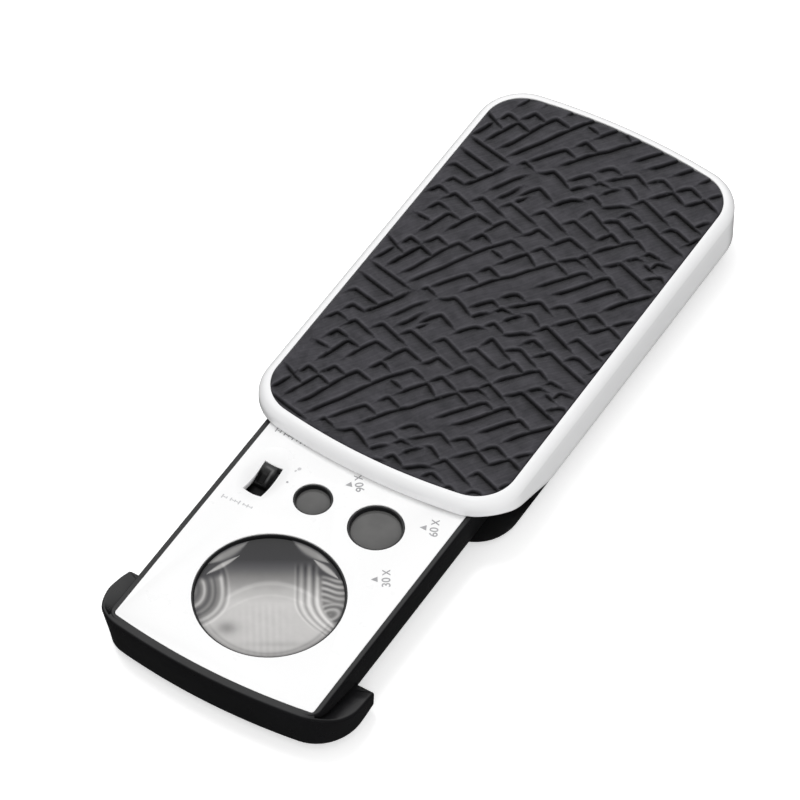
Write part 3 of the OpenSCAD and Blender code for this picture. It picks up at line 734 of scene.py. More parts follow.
def make_pad():
    """A grid that follows the pad's outline, with the embossing as real displacement."""
    gap, edge_round, squeeze = 0.03, 0.35, 0.985
    half, front, rear = PAD_HALF - gap, PAD_FRONT + gap, PAD_REAR - gap
    columns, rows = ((350, 620))
    t = np.linspace(-1, 1, columns)
    # columns are closer together towards the sides
    bunched = half * np.sin(t * pi / 2 * squeeze) / sin(pi / 2 * squeeze)
    line_x = bunched * 0.3 + 0.7 * half * t
    edge = outline(half, front, rear, PAD_CORNER, PAD_BOW, 0, 60, 120, 4)
    ends = []
    for end in (edge[edge[:, 1] < 0], edge[edge[:, 1] > 0]):
        end = end[np.argsort(end[:, 0], kind="stable")]
        ends.append(np.interp(line_x, end[:, 0], end[:, 1]))
    x = np.repeat(line_x[None, :], rows, 0)
    y = ends[0][None, :] + (ends[1] - ends[0])[None, :] * np.linspace(0, 1, rows)[:, None]
    depth, dark, raised = emboss(x, y)
    inward = edge_distance(x, y, half, front, rear)
    fade = step(inward, 0, 0.9)
    rolled = edge_round - np.sqrt(np.clip(edge_round ** 2 - (edge_round - inward) ** 2, 0, None))
    roll = np.where(inward < edge_round, rolled, 0)
    z = (COVER_TOP + 0.10 - 0.66 * depth * (0.3 + 0.7 * fade) + creases(x, y) * fade
         - roll * 1.2 - 0.1 * (1 - fade))
    # painted shade along the folds; painted highlights beside them, random paleness per slat and the
    # crease lines
    tones = {"fold_shade": (dark, 1.0), "raised": (raised + 1.3 * creases(x, y), 0.0)}
    pad = grid_block("embossed_pad", x, y, z, RECESS_Z + 0.06, tones)
    finish_mesh(pad, PAD_CHARCOAL, "sleeve", "top_pad", sharp=80, weld=0)


make_pad()

# ------------------------------------------------------------------ tray
# height of the nose's rim towards the rear: y, then z
EAR_TOP = smoothed_curve(
    [-109.5, -107.9, -107.2, -106.3, -105.3, -103.3, -101, -98, -95, -92, -90],
    [10.4, 10.4, 10.28, 9.98, 9.5, 8.6, 7.95, 7.25, 6.55, 5.5, 4.8], sigma=0.35)
# height of the crease where the ear meets the tub: y, then z
CREASE = smoothed_curve(
    [-107.2, -106.5, -105.6, -104.5, -103.3, -101.5, -98, -94.5, -92, -90],
    [10.3, 9.95, 9.1, 8.45, 8.0, 7.45, 6.6, 5.85, 5.3, 4.9], sigma=0.25)
# lean of the wall by the way it faces: 0 degrees on the flanks, 90 across the front
DRAFT_ANGLES = [-10, 0, 10, 25, 45, 65, 82, 90]
DRAFT_LEFT = [0.2, 0.4, 1.1, 1.9, 1.65, 0.75, 0.45, 0.42]
DRAFT_RIGHT = [0.2, 0.3, 0.42, 0.5, 0.5, 0.45, 0.42, 0.42]
FOOT_ROUND, RIM_ROUND = 0.65, 0.62
CREASE_X, CREASE_REAR, CREASE_FRONT = TUB_HALF - 0.3, -91.6, -106.55
# tub profile: inset, z
TUB_LEVELS = [
    (2.45, TRAY_BOTTOM), (2.2, TRAY_BOTTOM + 0.08), (2.06, TRAY_BOTTOM + 0.35), (2.05, 3.9),
    (0.14, 3.9), (0.03, 3.96), (0.0, 4.1), (0.0, 9.9), (0.05, 10.14), (0.16, 10.3), (0.32, 10.37),
    (0.52, 10.39)]
# eyepiece wells: centre, radius outside, radius inside, radius of the hole in the floor
WELLS = [(MIDDLE_AT, 6.4, 5.6, 3.4), (SMALL_AT, 4.7, 3.9, 2.2)]
WELL_FLOOR = 2.85
PLATE_BED = 9.18
CELL_Y = -21.6
TRAY_SCREWS = [(-17.9, -50.0), (17.9, -50.0), (-17.6, -103.8), (17.6, -103.8)]
LEDS = [(1.9, -68.0), (-18.2, -71.6), (18.2, -71.6), (2.2, -55.2)]


def with_mirror(half):
    """Rows that end at x = 0, followed by their mirror image back to the start."""
    sign = np.ones(half.shape[1])
    sign[0] = -1
    return np.concatenate([half, half[::-1][1:] * sign])


def nose_half():
    """Right half of the nose in plan, from the rear of the ear to the front centre."""
    corner, end_y, end_round, narrowing = 9.5, -91.9, 0.8, 0.3
    tilt = atan(2 * TRAY_BOW * TRAY_HALF)
    tilt = atan(2 * TRAY_BOW * (TRAY_HALF - corner + corner * sin(tilt)))
    front_x = TRAY_HALF - corner + corner * sin(tilt)
    corner_y = TRAY_FRONT + TRAY_BOW * front_x * front_x + corner * cos(tilt)
    round_x, round_y = TRAY_HALF - narrowing - end_round, end_y - end_round
    side_y = np.linspace(round_y, corner_y, 24)[1:]
    side_x = TRAY_HALF - narrowing * ((side_y - corner_y) / (round_y - corner_y)) ** 1.8
    across = np.linspace(front_x, 0, 40)[1:]
    return np.concatenate([
        np.stack([np.linspace(24.3, round_x, 6)[:-1], np.full(5, end_y)], 1),
        arc(round_x, round_y, end_round, 90, 0, 10),
        np.stack([side_x, side_y], 1),
        arc(TRAY_HALF - corner, corner_y, corner, 0, -90 + degrees(tilt), 40)[1:],
        np.stack([across, TRAY_FRONT + TRAY_BOW * across * across], 1)])


def nose_inner(half):
    """Inner end of each section: along the crease, then behind the front edge."""
    run = np.concatenate([[0], np.cumsum(np.linalg.norm(np.diff(half, axis=0), axis=1))])
    turn = np.where((half[:, 0] < TUB_HALF) & (half[:, 1] < -100))[0][0]
    inner = np.zeros((len(half), 3))
    crease_end = np.array([CREASE_X, CREASE_FRONT, CREASE(CREASE_FRONT)])
    for i, (x, _) in enumerate(half):
        if i <= turn:
            y = CREASE_REAR + (CREASE_FRONT - CREASE_REAR) * (run[i] / run[turn])
            inner[i] = (CREASE_X, y, CREASE(y))
        else:
            share = min(1.0, (run[i] - run[turn]) / 1.6)
            y = TRAY_FRONT + 2.35 + TRAY_BOW * x * x
            inner[i] = crease_end * (1 - share) + np.array([min(x, TUB_HALF - 0.9), y, 10.4]) * share
    return with_mirror(inner)


def make_nose():
    """Front end of the tray with an ear on each side, as sections along its outline."""
    half = nose_half()
    path, inner = with_mirror(half), nose_inner(half)
    tangent = np.gradient(path, axis=0)
    tangent /= np.linalg.norm(tangent, axis=1)[:, None]
    normal = np.stack([-tangent[:, 1], tangent[:, 0]], 1)  # outward
    top = EAR_TOP(path[:, 1])
    facing = np.degrees(np.arctan2(-normal[:, 1], np.abs(normal[:, 0])))
    draft = np.where(path[:, 0] < 0, np.interp(facing, DRAFT_ANGLES, DRAFT_LEFT),
                     np.interp(facing, DRAFT_ANGLES, DRAFT_RIGHT))
    draft = np.convolve(np.pad(draft, 3, mode="edge"), np.ones(7) / 7, mode="valid")

    def wall(z, inset=0.0):
        z = np.broadcast_to(z, (len(path),))
        lean = draft * np.clip((9.0 - z) / 6.5, 0, 1) ** 1.1
        low = np.clip((2.3 - z) / FOOT_ROUND, 0, 1)
        inward = lean + 0.6 * (1 - np.sqrt(1 - low ** 2)) + inset
        return level(path - normal * inward[:, None], z)

    reach = np.abs(inner[:, 0])
    deep_x = np.sign(inner[:, 0]) * np.minimum(reach, 20.6)
    behind_front = (TRAY_FRONT + 3.9 + TRAY_BOW * deep_x ** 2
                    + 4.0 * np.clip((reach - 15) / 8, 0, 1) ** 2)
    deep_y = np.maximum(inner[:, 1] + 1.5, behind_front)
    rings = [level(np.stack([deep_x, deep_y], 1), TRAY_BOTTOM), wall(TRAY_BOTTOM, 0.45)]
    for angle in np.linspace(0, 90, 9):
        rings.append(wall(TRAY_BOTTOM + FOOT_ROUND * (1 - cos(radians(angle)))))
    for t in (0.25, 0.5, 0.75):
        rings.append(wall((TRAY_BOTTOM + FOOT_ROUND) * (1 - t) + (top - RIM_ROUND) * t))
    for angle in np.radians(np.linspace(0, 90, 8)):
        rings.append(wall(top - RIM_ROUND + RIM_ROUND * sin(angle), RIM_ROUND * (1 - cos(angle))))
    rim = rings[-1]
    swell = 0.14 * np.clip((10.35 - top) / 1.2, 0, 1)
    for j in range(1, 11):
        t = j / 10
        ring = rim * (1 - t) + inner * t
        ring[:, 2] += swell * np.sin(pi * t)
        rings.append(ring)
    verts, faces = skin(rings, close_ring=False, close_profile=True)
    count = len(path)
    faces.append(tuple(j * count for j in range(len(rings))))
    faces.append(tuple(j * count + count - 1 for j in range(len(rings) - 1, -1, -1)))
    return clean(new_object("tray_tub", verts, faces))


def make_tub():
    """The long tub: foot, walls and shoulder, with a lug on each side at the rear."""
    rings = []
    for inset, z in TUB_LEVELS:
        plan = outline(TUB_HALF, TRAY_FRONT + 0.95, TRAY_REAR, 2.6, TRAY_BOW, inset, 10, 30, 3)
        if inset > 1:  # the foot has a rounder front, set further back
            foot = outline(TUB_HALF, TRAY_FRONT + 3.4, TRAY_REAR, 9.0, TRAY_BOW, inset, 10, 30, 3)
            plan = np.where((plan[:, 1] > -60)[:, None], plan, foot)
        rings.append(level(plan, z))
    tub = clean(new_object("tub", *skin(rings)))
    for side in (-1, 1):
        lug_x = sorted((side * (TUB_HALF - 0.5), side * (TUB_HALF + 2.2)))
        lug = block(*lug_x, TRAY_REAR - 3.5, TRAY_REAR - 0.02, 4.0, 8.0)
        fuse(tub, bevel(lug, width=0.3, segments=3, angle=35))
    return tub


def make_cavity():
    """Hollow of the tray, less the walls and posts that stand in it."""
    def hollow(half, z0):
        front, rear, chamfer = TRAY_FRONT + 3.6, TRAY_REAR - 1.4, 1.2
        return prism([(-half, rear), (-half, front + chamfer), (-half + chamfer, front),
                      (half - chamfer, front), (half, front + chamfer), (half, rear)], z0, 20)

    cavity = hollow(19.9, 2.85)
    fuse(cavity, hollow(21.3, 4.9))
    cut(cavity, cylinder(LARGE_LENS_AT, 16.2, 0, PLATE_BED, 96))
    cut(cavity, *[cylinder(at, outside, 0, 4.6, 64) for at, outside, _, _ in WELLS])
    cut(cavity, *[cylinder(at, 1.9, 0, 7.0, 32) for at in TRAY_SCREWS])
    cut(cavity, block(-19.6, 19.6, CELL_Y - 7.2, CELL_Y + 8.0, 0, 8.2))
    return cavity


def make_tray():
    tray = make_nose()
    fuse(tray, make_tub())
    pocket_half = PLATE_HALF + 0.05
    pocket = [(pocket_half, TRAY_REAR + 2), (-pocket_half, TRAY_REAR + 2)]
    pocket += [(x, TRAY_FRONT + 1.93 + TRAY_BOW * x * x)
               for x in np.linspace(-pocket_half, pocket_half, 41)]
    cut(tray, prism(pocket, PLATE_BED, 14))
    cut(tray, make_cavity())
    cut(tray, cylinder(LARGE_LENS_AT, 13.9, -1, 19, 128),
        cylinder(LARGE_LENS_AT, LENS_SEAT, 7.05, 19, 128))
    for at, _, inside, hole in WELLS:
        cut(tray, cylinder(at, inside, WELL_FLOOR, 19, 96), cylinder(at, hole, -1, 19, 64))
    cut(tray, *[cylinder(at, 1.65, -1, 4, 48) for at in LEDS])
    for at in TRAY_SCREWS:
        cut(tray, cylinder(at, 0.8, -1, 11, 32), cylinder(at, 1.45, -1, 2.75, 32))
    # three round cells, slots under and over them, and a recess for their lid
    cut(tray, *[cylinder((x, CELL_Y), 5.9, -1, 6.55, 64) for x in (-12.2, 0, 12.2)])
    cut(tray, block(-12.5, 12.5, CELL_Y - 2.3, CELL_Y + 2.3, -1, 3.4),
        block(-12.5, 12.5, CELL_Y - 2.3, CELL_Y + 2.3, 5.9, 6.56),
        block(-18.6, 18.6, CELL_Y - 6.4, CELL_Y + 6.8, -1, 2.85))
    finish_mesh(tray, TRAY_BLACK, "tray", "tray_body", sharp=32)


make_tray()

# ------------------------------------------------------------------ face plate
DISH_HALF_X, DISH_HALF_Y, DISH_DEPTH = 5.2, 8.4, 2.1


def dish_solid(grow, lower, reach, top):
    """Solid whose underside follows the dish round the switch, to cut it or to back it."""
    angles = np.linspace(0, 2 * np.pi, 96, endpoint=False)

    def ring(share, z):
        x = SWITCH_AT[0] + (DISH_HALF_X + grow) * share * np.cos(angles)
        y = SWITCH_AT[1] + (DISH_HALF_Y + grow) * share * np.sin(angles)
        return level(np.stack([x, y], 1), z)

    rings = []
    for share in np.linspace(0.02, reach, 30):
        dish_z = PLATE_TOP - DISH_DEPTH * (1 - share ** 2) ** 2
        rings.append(ring(share, max(dish_z - lower, 7.25)))
    rings.append(ring(reach, top))
    return clean(new_object("dish", *skin(rings)))


def make_plate():
    corner, underside = 0.7, 9.2
    front = TRAY_FRONT + 2.01
    corner_x = PLATE_HALF - corner
    corner_y = front + TRAY_BOW * corner_x ** 2 + corner
    points = [(PLATE_HALF, TRAY_REAR - 0.2), (-PLATE_HALF, TRAY_REAR - 0.2),
              *arc(-corner_x, corner_y, corner, 180, 262, 8)]
    points += [(x, front + TRAY_BOW * x * x) for x in np.linspace(-corner_x, corner_x, 41)[1:-1]]
    points += [*arc(corner_x, corner_y, corner, 278, 360, 8)]
    plate = prism(points, underside, PLATE_TOP, "face_plate_white")
    fuse(plate, dish_solid(grow=0.9, lower=1.1, reach=0.98, top=PLATE_TOP - 0.5))
    fuse(plate, *[cylinder(at, 1.7, 7.05, 9.6, 32) for at in TRAY_SCREWS])
    cut(plate, dish_solid(grow=0.0, lower=0.0, reach=0.975, top=PLATE_TOP + 2))
    cut(plate, cylinder(LARGE_LENS_AT, LENS_SEAT, 0, 20, 160),
        cylinder(MIDDLE_AT, 5.64, 0, 20, 112), cylinder(SMALL_AT, 3.94, 0, 20, 96))
    x, y = SWITCH_AT
    cut(plate, block(x - 2.1, x + 2.1, y - 4.05, y + 4.05, 0, 20))
    cut(plate, *[cylinder(at, 0.65, 5, 9.6, 24) for at in TRAY_SCREWS])
    bevel(clean(plate), width=0.1)
    finish_mesh(plate, PLATE_WHITE, "tray", "face_plate", sharp=28)


make_plate()

# ------------------------------------------------------------------ lenses
# plan directions that run to the right and away as the camera sees them
VIEW_RIGHT = np.array([cos(CAMERA_AZIMUTH), sin(CAMERA_AZIMUTH)])
VIEW_AWAY = np.array([-VIEW_RIGHT[1], VIEW_RIGHT[0]])

# Painted view of the table's grain through the large lens, as soft lines: change in grey, place, width
LEFT_GRAIN_SEEN_THROUGH = [(58, 0.25, 0.022), (-34, 0.31, 0.03), (12, 0.355, 0.016), (-26, 0.39, 0.02),
              (30, 0.12, 0.03), (-16, 0.18, 0.03)]
LEFT_BORDER = [(44, 0.475, 0.024), (-30, 0.525, 0.022), (18, 0.565, 0.018)]
RIGHT_GRAIN_SEEN_THROUGH = [(16, 0.325, 0.014), (-26, 0.36, 0.016), (20, 0.405, 0.018), (-34, 0.455, 0.02),
               (30, 0.505, 0.022), (-40, 0.56, 0.022), (34, 0.61, 0.022), (-22, 0.655, 0.02)]
LOOPS = [(-34, 0.03, 0.035), (34, 0.09, 0.02), (-42, 0.135, 0.022), (26, 0.18, 0.018),
         (-30, 0.22, 0.02)]
# painted highlights of pale facets on the far side: change in grey, start, end, half width
FACET_HIGHLIGHTS = [(84, (-0.80, 0.53), (-0.28, 0.90), 0.085), (112, (-0.82, 0.36), (-0.40, 0.66), 0.034),
          (88, (0.28, 0.92), (0.76, 0.54), 0.08), (112, (0.56, 0.60), (0.88, 0.29), 0.044)]


def soft_line(x, place, width):
    return np.exp(-((x - place) / width) ** 2)


def soft_lines(x, rows):
    return sum(gain * soft_line(x, place, width) for gain, place, width in rows)


def blend(first, second, share):
    return first * (1 - share) + share * second


def streak(right, away, start, end, half_width):
    """Soft line between two points, tapering at its ends."""
    start, end = np.array(start), np.array(end)
    length = np.linalg.norm(end - start)
    run = (end - start) / length
    along = (right - start[0]) * run[0] + (away - start[1]) * run[1]
    off = -(right - start[0]) * run[1] + (away - start[1]) * run[0]
    width = half_width * np.clip(np.sin(np.clip(along / length, 0, 1) * np.pi), 0.0, 1) + 1e-4
    return np.exp(-(off / width) ** 4) * ((along > 0) & (along < length))


def lens_tone(right, away):
    """Grey (0-255) painted on the large lens: painted shade on the far side, painted light on the near
    side, the curved table grain seen through it at the sides.

    Both coordinates run from -1 to 1 across the lens.
    """
    radius = np.hypot(right, away)
    away = away - 0.045
    # painted shade on the far side and painted light on the near side
    grey = np.interp(away, [-1, -0.93, -0.8, -0.45, -0.1, 0.1, 0.3, 0.45, 0.6, 0.85, 1],
                     [160, 186, 198, 201, 195, 170, 132, 90, 56, 50, 42])
    # painted reflection: pale arc across the middle
    bow = 0.225 - 0.75 * (right - 0.02) ** 2
    middle = np.exp(-(right / 0.62) ** 6)
    grey += 24 * soft_line(away, bow, 0.035) * middle
    grey += 12 * step(bow - away, 0, 0.03) * middle * step(away, -0.5, 0.1)
    grey += 8 * soft_line(away, bow - 0.2, 0.022) * middle
    # left side of the painted view through the lens: table grain, centred outside the edge, as fine
    # pale lines on grey
    turn = np.hypot(right + 1.07, (away - 0.12) * 0.86) + 0.012 * np.sin(away * 9)
    share = step(0.545 - turn, 0, 0.07) * step(0.52 - away, 0, 0.1) * step(away, -0.78, -0.5)
    left = 128 + 30 * step(turn, 0.42, 0.5) - 22 * step(0.24 - turn, 0, 0.1)
    grey = blend(grey, left + soft_lines(turn, LEFT_GRAIN_SEEN_THROUGH), share)
    grey += (soft_lines(turn, LEFT_BORDER) * step(-right, 0.3, 0.45) * step(away, -0.75, -0.4)
             * step(0.62 - away, 0, 0.12))
    # right side of the painted view through the lens: upright grain stripes that swing out towards the
    # near side
    swung = right - 1.15 * np.clip(-0.05 - away, 0, None) ** 2
    share = step(0.58 - away, 0, 0.14) * step(away, -0.84, -0.55)
    grey += share * soft_lines(swung, RIGHT_GRAIN_SEEN_THROUGH)
    # right edge of the painted view: wavy bands above closed loops
    wave = away + 0.20 * (right - 0.8) + 0.018 * np.sin(right * 16)
    waves = 142 + 38 * np.cos(wave / 0.094 * 2 * np.pi) * (0.7 + 0.5 * step(away, -0.1, 0.1))
    loop_x = (right - 0.78) * 0.92 + (away + 0.29) * 0.38
    loop_y = (away + 0.29) * 0.92 - (right - 0.78) * 0.38
    loops = 150 + soft_lines(np.hypot(loop_x * 0.8, loop_y * 1.15), LOOPS)
    edge = blend(waves, loops, step(-0.06 - away, 0, 0.08))
    grey = blend(grey, edge, step(swung, 0.64, 0.70))
    # painted shade: dark far corners on both sides
    spread_out = np.abs(right)
    dark = step(away + 0.25 * (spread_out - 0.8), 0.24, 0.36) * step(spread_out, 0.56, 0.66)
    grey = blend(grey, 66, dark)
    for gain, start, end, half_width in FACET_HIGHLIGHTS:
        grey += gain * streak(right, away, start, end, half_width)
    # near side: faint upright grain seen through the lens, a painted dark patch, painted shade at the
    # rim
    grain = 4 * np.cos(right / 0.085 * 2 * np.pi + 3 * away) * soft_line(right, -0.06, 0.28)
    grey += step(-0.02 - away, 0, 0.25) * grain
    grey -= 50 * soft_line(right, -0.53, 0.13) * soft_line(away, -0.50, 0.10)
    grey -= 16 * soft_line(right, 0.12, 0.4) * soft_line(away, -0.76, 0.045)
    grey -= 14 * soft_line(radius, 0.86, 0.025) * step(-away, 0.35, 0.6)
    grey -= 105 * step(radius, 0.86, 1.0) * step(-away, 0.0, 0.8)
    grey -= 12 * soft_line(radius, 0.865, 0.02) * step(-away, 0.2, 0.6)
    grey -= 50 * step(radius, 0.94, 1.0)
    return np.clip(grey, 34, 226)


def lens_colour(grey):
    """Linear colour for a grey from 0 to 1, cooler in the darks."""
    linear = np.where(grey <= 0.04045, grey / 12.92, ((grey + 0.055) / 1.055) ** 2.4)
    linear = np.clip(linear * 0.98 - 0.022, 0.004, 1)
    warm = np.clip((grey - 0.2) / 0.25, 0, 1)
    return np.stack([linear * (0.97 + 0.03 * warm), linear * (0.95 + 0.03 * warm),
                     linear * (1.10 - 0.135 * warm), np.ones_like(linear)], 1)


def sphere_radius(radius, sag):
    return (radius * radius + sag * sag) / (2 * sag)


def make_large_lens():
    radius, z0, z1, low_sag, high_sag = 14.6, 7.3, 9.7, 2.4, 0.7
    n_radius, n_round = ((130, 260))
    radii = radius * np.linspace(0, 1, n_radius + 1)[1:]

    def rise(at, sag):
        ball = sphere_radius(radius, sag)
        return np.sqrt(ball * ball - at * at) - (ball - sag)

    profile = [(0, z0 - low_sag)] + [(at, z0 - rise(at, low_sag)) for at in radii]
    profile += [(at, z1 + rise(at, high_sag)) for at in radii[::-1]] + [(0, z1 + high_sag)]
    lens = turned("large_lens", LARGE_LENS_AT, profile, n_round)
    points = np.empty(len(lens.data.vertices) * 3)
    lens.data.vertices.foreach_get("co", points)
    points = points.reshape(-1, 3)
    plan, z = (points[:, :2] - np.array(LARGE_LENS_AT)) / LENS_SEAT, points[:, 2]
    # higher points of the upper face look further away
    away = plan @ VIEW_AWAY + (z - 9.0) * 0.83 / LENS_SEAT * (z > 8)
    # painted reflections, painted shade and the painted view through the lens, stored per point
    colour = lens_colour(lens_tone(plan @ VIEW_RIGHT, away) / 255.0)
    attribute = lens.data.attributes.new("tone", "FLOAT_COLOR", "POINT")
    attribute.data.foreach_set("color", colour.astype(np.float32).ravel())
    finish_mesh(lens, LENS_VIEW, "tray", "lens_30x", sharp=35, weld=0)


def make_eye_lens(name, node, at, radius, z0, z1, low_sag, high_sag):
    def cap(sag):
        ball = sphere_radius(radius, sag)
        angles = np.linspace(0, asin(radius / ball), 40)
        return list(zip(ball * np.sin(angles), ball * np.cos(angles) - (ball - sag)))

    profile = [(x, z0 - rise) for x, rise in cap(low_sag)]
    profile += [(x, z1 + rise) for x, rise in cap(high_sag)[::-1]]
    lens = turned(name, at, profile, 128)
    finish_mesh(lens, LENS_DARK, "tray", node, sharp=35)


make_large_lens()
make_eye_lens("eye_lens_middle", "lens_60x", MIDDLE_AT, radius=5.0, z0=8.2, z1=9.35,
              low_sag=0.5, high_sag=0.35)
make_eye_lens("eye_lens_small", "lens_90x", SMALL_AT, radius=3.35, z0=8.3, z1=9.35,
              low_sag=0.4, high_sag=0.3)

# black rings round the lenses: name, CAD node, centre, closed profile of radius, z
RINGS = [
    ("large_lens_ring", "lens_ring_30x", LARGE_LENS_AT,
     [(14.35, 8.62), (14.94, 8.62), (14.94, 10.1), (14.9, 10.18), (14.8, 10.2), (14.62, 10.12),
      (14.45, 9.85), (14.36, 9.3)]),
    ("eyepiece_barrel_middle", "barrel_60x", MIDDLE_AT,
     [(3.2, 2.92), (5.54, 2.92), (5.54, 10.16), (5.5, 10.24), (5.4, 10.26), (5.2, 10.18),
      (5.06, 9.9), (5.04, 9.4), (5.04, 3.7), (3.2, 3.7)]),
    ("eyepiece_barrel_small", "barrel_90x", SMALL_AT,
     [(2.1, 2.92), (3.84, 2.92), (3.84, 10.16), (3.8, 10.24), (3.72, 10.26), (3.54, 10.18),
      (3.42, 9.9), (3.39, 9.4), (3.39, 3.7), (2.1, 3.7)])]
for name, node, at, profile in RINGS:
    finish_mesh(turned(name, at, profile, 144), TRAY_BLACK, "tray", node, sharp=40)


# ------------------------------------------------------------------ switch knob
def make_knob():
    """Thumb slide: a rim along the rear and right of a hollow that falls away to the front."""
    x0, y0 = KNOB_AT
    half_x, half_y, edge = 1.95, 2.3, 0.22
    x, y = np.meshgrid(np.linspace(-half_x, half_x, 66), np.linspace(-half_y, half_y, 78))
    z = np.interp(y, [-2.3, -1.5, -0.6, 0.4, 1.4, 2.3], [7.9, 8.25, 8.65, 9.05, 9.35, 9.5])
    hollow = (step(0.25 - x, 0, 0.5) * step(x, -1.9, -1.3)
              * step(1.15 - y, 0, 0.6) * step(y, -2.2, -1.2))
    z = z - 0.75 * hollow - 0.55 * step(x, 0.75, 1.25) * step(1.9 - y, 0, 0.5)
    inward = np.minimum(np.minimum(half_x - np.abs(x), half_y - np.abs(y)), edge) / edge
    z = z - edge * (1 - np.sqrt(1 - (1 - inward) ** 2))
    # painted highlights along the right and rear rims
    right_rim_highlight = (soft_line(x, 0.44 + 0.05 * y, 0.26) * step(y, -2.2, -1.0)
                 * (1 - step(y, 1.25, 1.7)))
    rear_rim_highlight = (0.85 * soft_line(y, 1.35 - 0.12 * x, 0.24) * step(x, -1.5, -0.8)
                * (1 - step(x, 0.5, 0.9)))
    rim = np.maximum(right_rim_highlight, rear_rim_highlight)
    # painted sheen on the upper face, which faces the light; the rest stays black
    face = step(y, -0.1, 1.0) * (1 - step(x, 0.9, 1.25))
    tone = 0.004 + 0.036 * face + 0.075 * rim * step(y, -2.4, -0.4)
    knob = grid_block("switch_knob", x0 + x, y0 + y, z, 6.9, {"tone": (tone, 0.006)})
    blade = bevel(block(x0 - 2.9, x0 + 2.9, y0 - 5.9, y0 + 5.9, 6.45, 7.05), width=0.12)
    stem = bevel(block(x0 - 0.8, x0 + 0.8, y0 - 1.2, y0 + 1.2, 5.1, 6.6), width=0.1)
    finish_mesh(join(knob, blade, stem), KNOB_BLACK, "switch_lever", "switch_lever",
                sharp=35, weld=0)


make_knob()

# ------------------------------------------------------------------ printed marks on the plate
INK_Z, INK_THICK, DIGIT_HEIGHT = PLATE_TOP + 0.004, 0.012, 1.75


def flat(name, polygons, z=INK_Z):
    """Thin plates of ink."""
    shape = bmesh.new()
    for polygon in polygons:
        low = [shape.verts.new((x, y, z)) for x, y in polygon]
        high = [shape.verts.new((x, y, z + INK_THICK)) for x, y in polygon]
        shape.faces.new(low[::-1])
        shape.faces.new(high)
        for i in range(len(polygon)):
            j = (i + 1) % len(polygon)
            shape.faces.new((low[i], low[j], high[j], high[i]))
    bmesh.ops.recalc_face_normals(shape, faces=shape.faces)
    mesh = bpy.data.meshes.new(name)
    shape.to_mesh(mesh)
    shape.free()
    return link_object(name, mesh)


def digits(name, word, x, y, angle):
    """Numerals centred on x, y, on a line at an angle in degrees."""
    curve = bpy.data.curves.new(name, "FONT")
    curve.body = word
    curve.size = DIGIT_HEIGHT * 1.36
    curve.align_x, curve.align_y = "CENTER", "CENTER"
    curve.extrude = INK_THICK / 2
    curve.offset = 0.03
    curve.resolution_u = 6
    text = link_object(name + "_text", curve)
    bpy.context.view_layer.update()
    graph = bpy.context.evaluated_depsgraph_get()
    mesh = bpy.data.meshes.new_from_object(text.evaluated_get(graph))
    bpy.data.objects.remove(text)
    place = Matrix.Translation((x, y, INK_Z + 0.006))
    mesh.transform(place @ Matrix.Rotation(radians(angle), 4, "Z"))
    return link_object(name, mesh)


def placed(points, x, y, angle):
    c, s = cos(radians(angle)), sin(radians(angle))
    return [(x + c * a - s * b, y + s * a + c * b) for a, b in points]


def power_mark(word, pointer_at, number_at, angle):
    """Numerals, a multiplication cross and a triangular pointer."""
    name = "power_mark_" + word
    triangle = [(0.0, 0.78), (-0.66, -0.52), (0.66, -0.52)]
    pointer = flat("pointer", [placed(triangle, *pointer_at, angle)])
    x, y = number_at
    number = digits(name, word, x - 0.82 * cos(radians(angle)), y - 0.82 * sin(radians(angle)), angle)
    left, width, lean, half = 0.86, 0.3, 1.1, 0.78
    strokes = [[(left, -half), (left + width, -half), (left + 1.4, half), (left + lean, half)],
               [(left + lean, -half), (left + 1.4, -half), (left + width, half), (left, half)]]
    # the second stroke lies a little higher, so that the two do not share a face
    cross = [flat("stroke", [placed(stroke, x, y, angle)], INK_Z + lift)
             for stroke, lift in zip(strokes, (0, 0.001))]
    finish_mesh(join(number, pointer, *cross), INK, "tray", sharp=30, weld=1e-5)


power_mark("30", (15.6, -72.35), (17.45, -71.1), 123)
power_mark("60", (16.95, -56.65), (18.9, -55.8), 115)
power_mark("90", (-0.95, -55.25), (0.65, -54.0), 130)


def print_flat(name, polygons, ink):
    finish_mesh(flat(name, polygons), ink, "tray", sharp=30, weld=0)


def rectangle(x0, x1, y0, y1):
    return [(x0, y0), (x1, y0), (x1, y1), (x0, y1)]


def scale_marks(name, start, end, height, ink):
    """A row of small ticks with dashes between some of them."""
    (x0, y0), (x1, y1) = start, end
    count = 8
    polygons = []
    for i in range(count):
        t = i / (count - 1)
        x, y = x0 + (x1 - x0) * t, y0 + (y1 - y0) * t
        tick = height * (1.0, 0.55, 0.8, 0.55)[i % 4]
        polygons.append(rectangle(x - 0.13, x + 0.13, y - tick / 2, y + tick / 2))
        if i < count - 1 and i % 3 != 1:
            dash_end = x + (x1 - x0) / (count - 1) - 0.2
            polygons.append(rectangle(x + 0.2, dash_end, y - 0.1, y + 0.1))
    print_flat(name, polygons, ink)


def ellipse(x, y, half_x, half_y):
    angles = np.linspace(0, 2 * pi, 21)[:-1]
    return [(x + half_x * cos(a), y + half_y * sin(a)) for a in angles]


scale_marks("switch_scale_near", (-20.4, -70.5), (-14.0, -70.0), 1.0, INK_PALE)
scale_marks("switch_scale_far", (-20.4, -51.0), (-13.6, -51.2), 1.1, INK)
print_flat("switch_dot", [ellipse(-11.54, -61.02, 0.24, 0.24)], INK)
LAMP_MARK = [ellipse(0, 0.35, 0.34, 0.42), rectangle(-0.17, 0.17, -0.75, -0.25)]
print_flat("switch_lamp_mark", [placed(part, -11.43, -57.34, -25) for part in LAMP_MARK], INK_PALE)


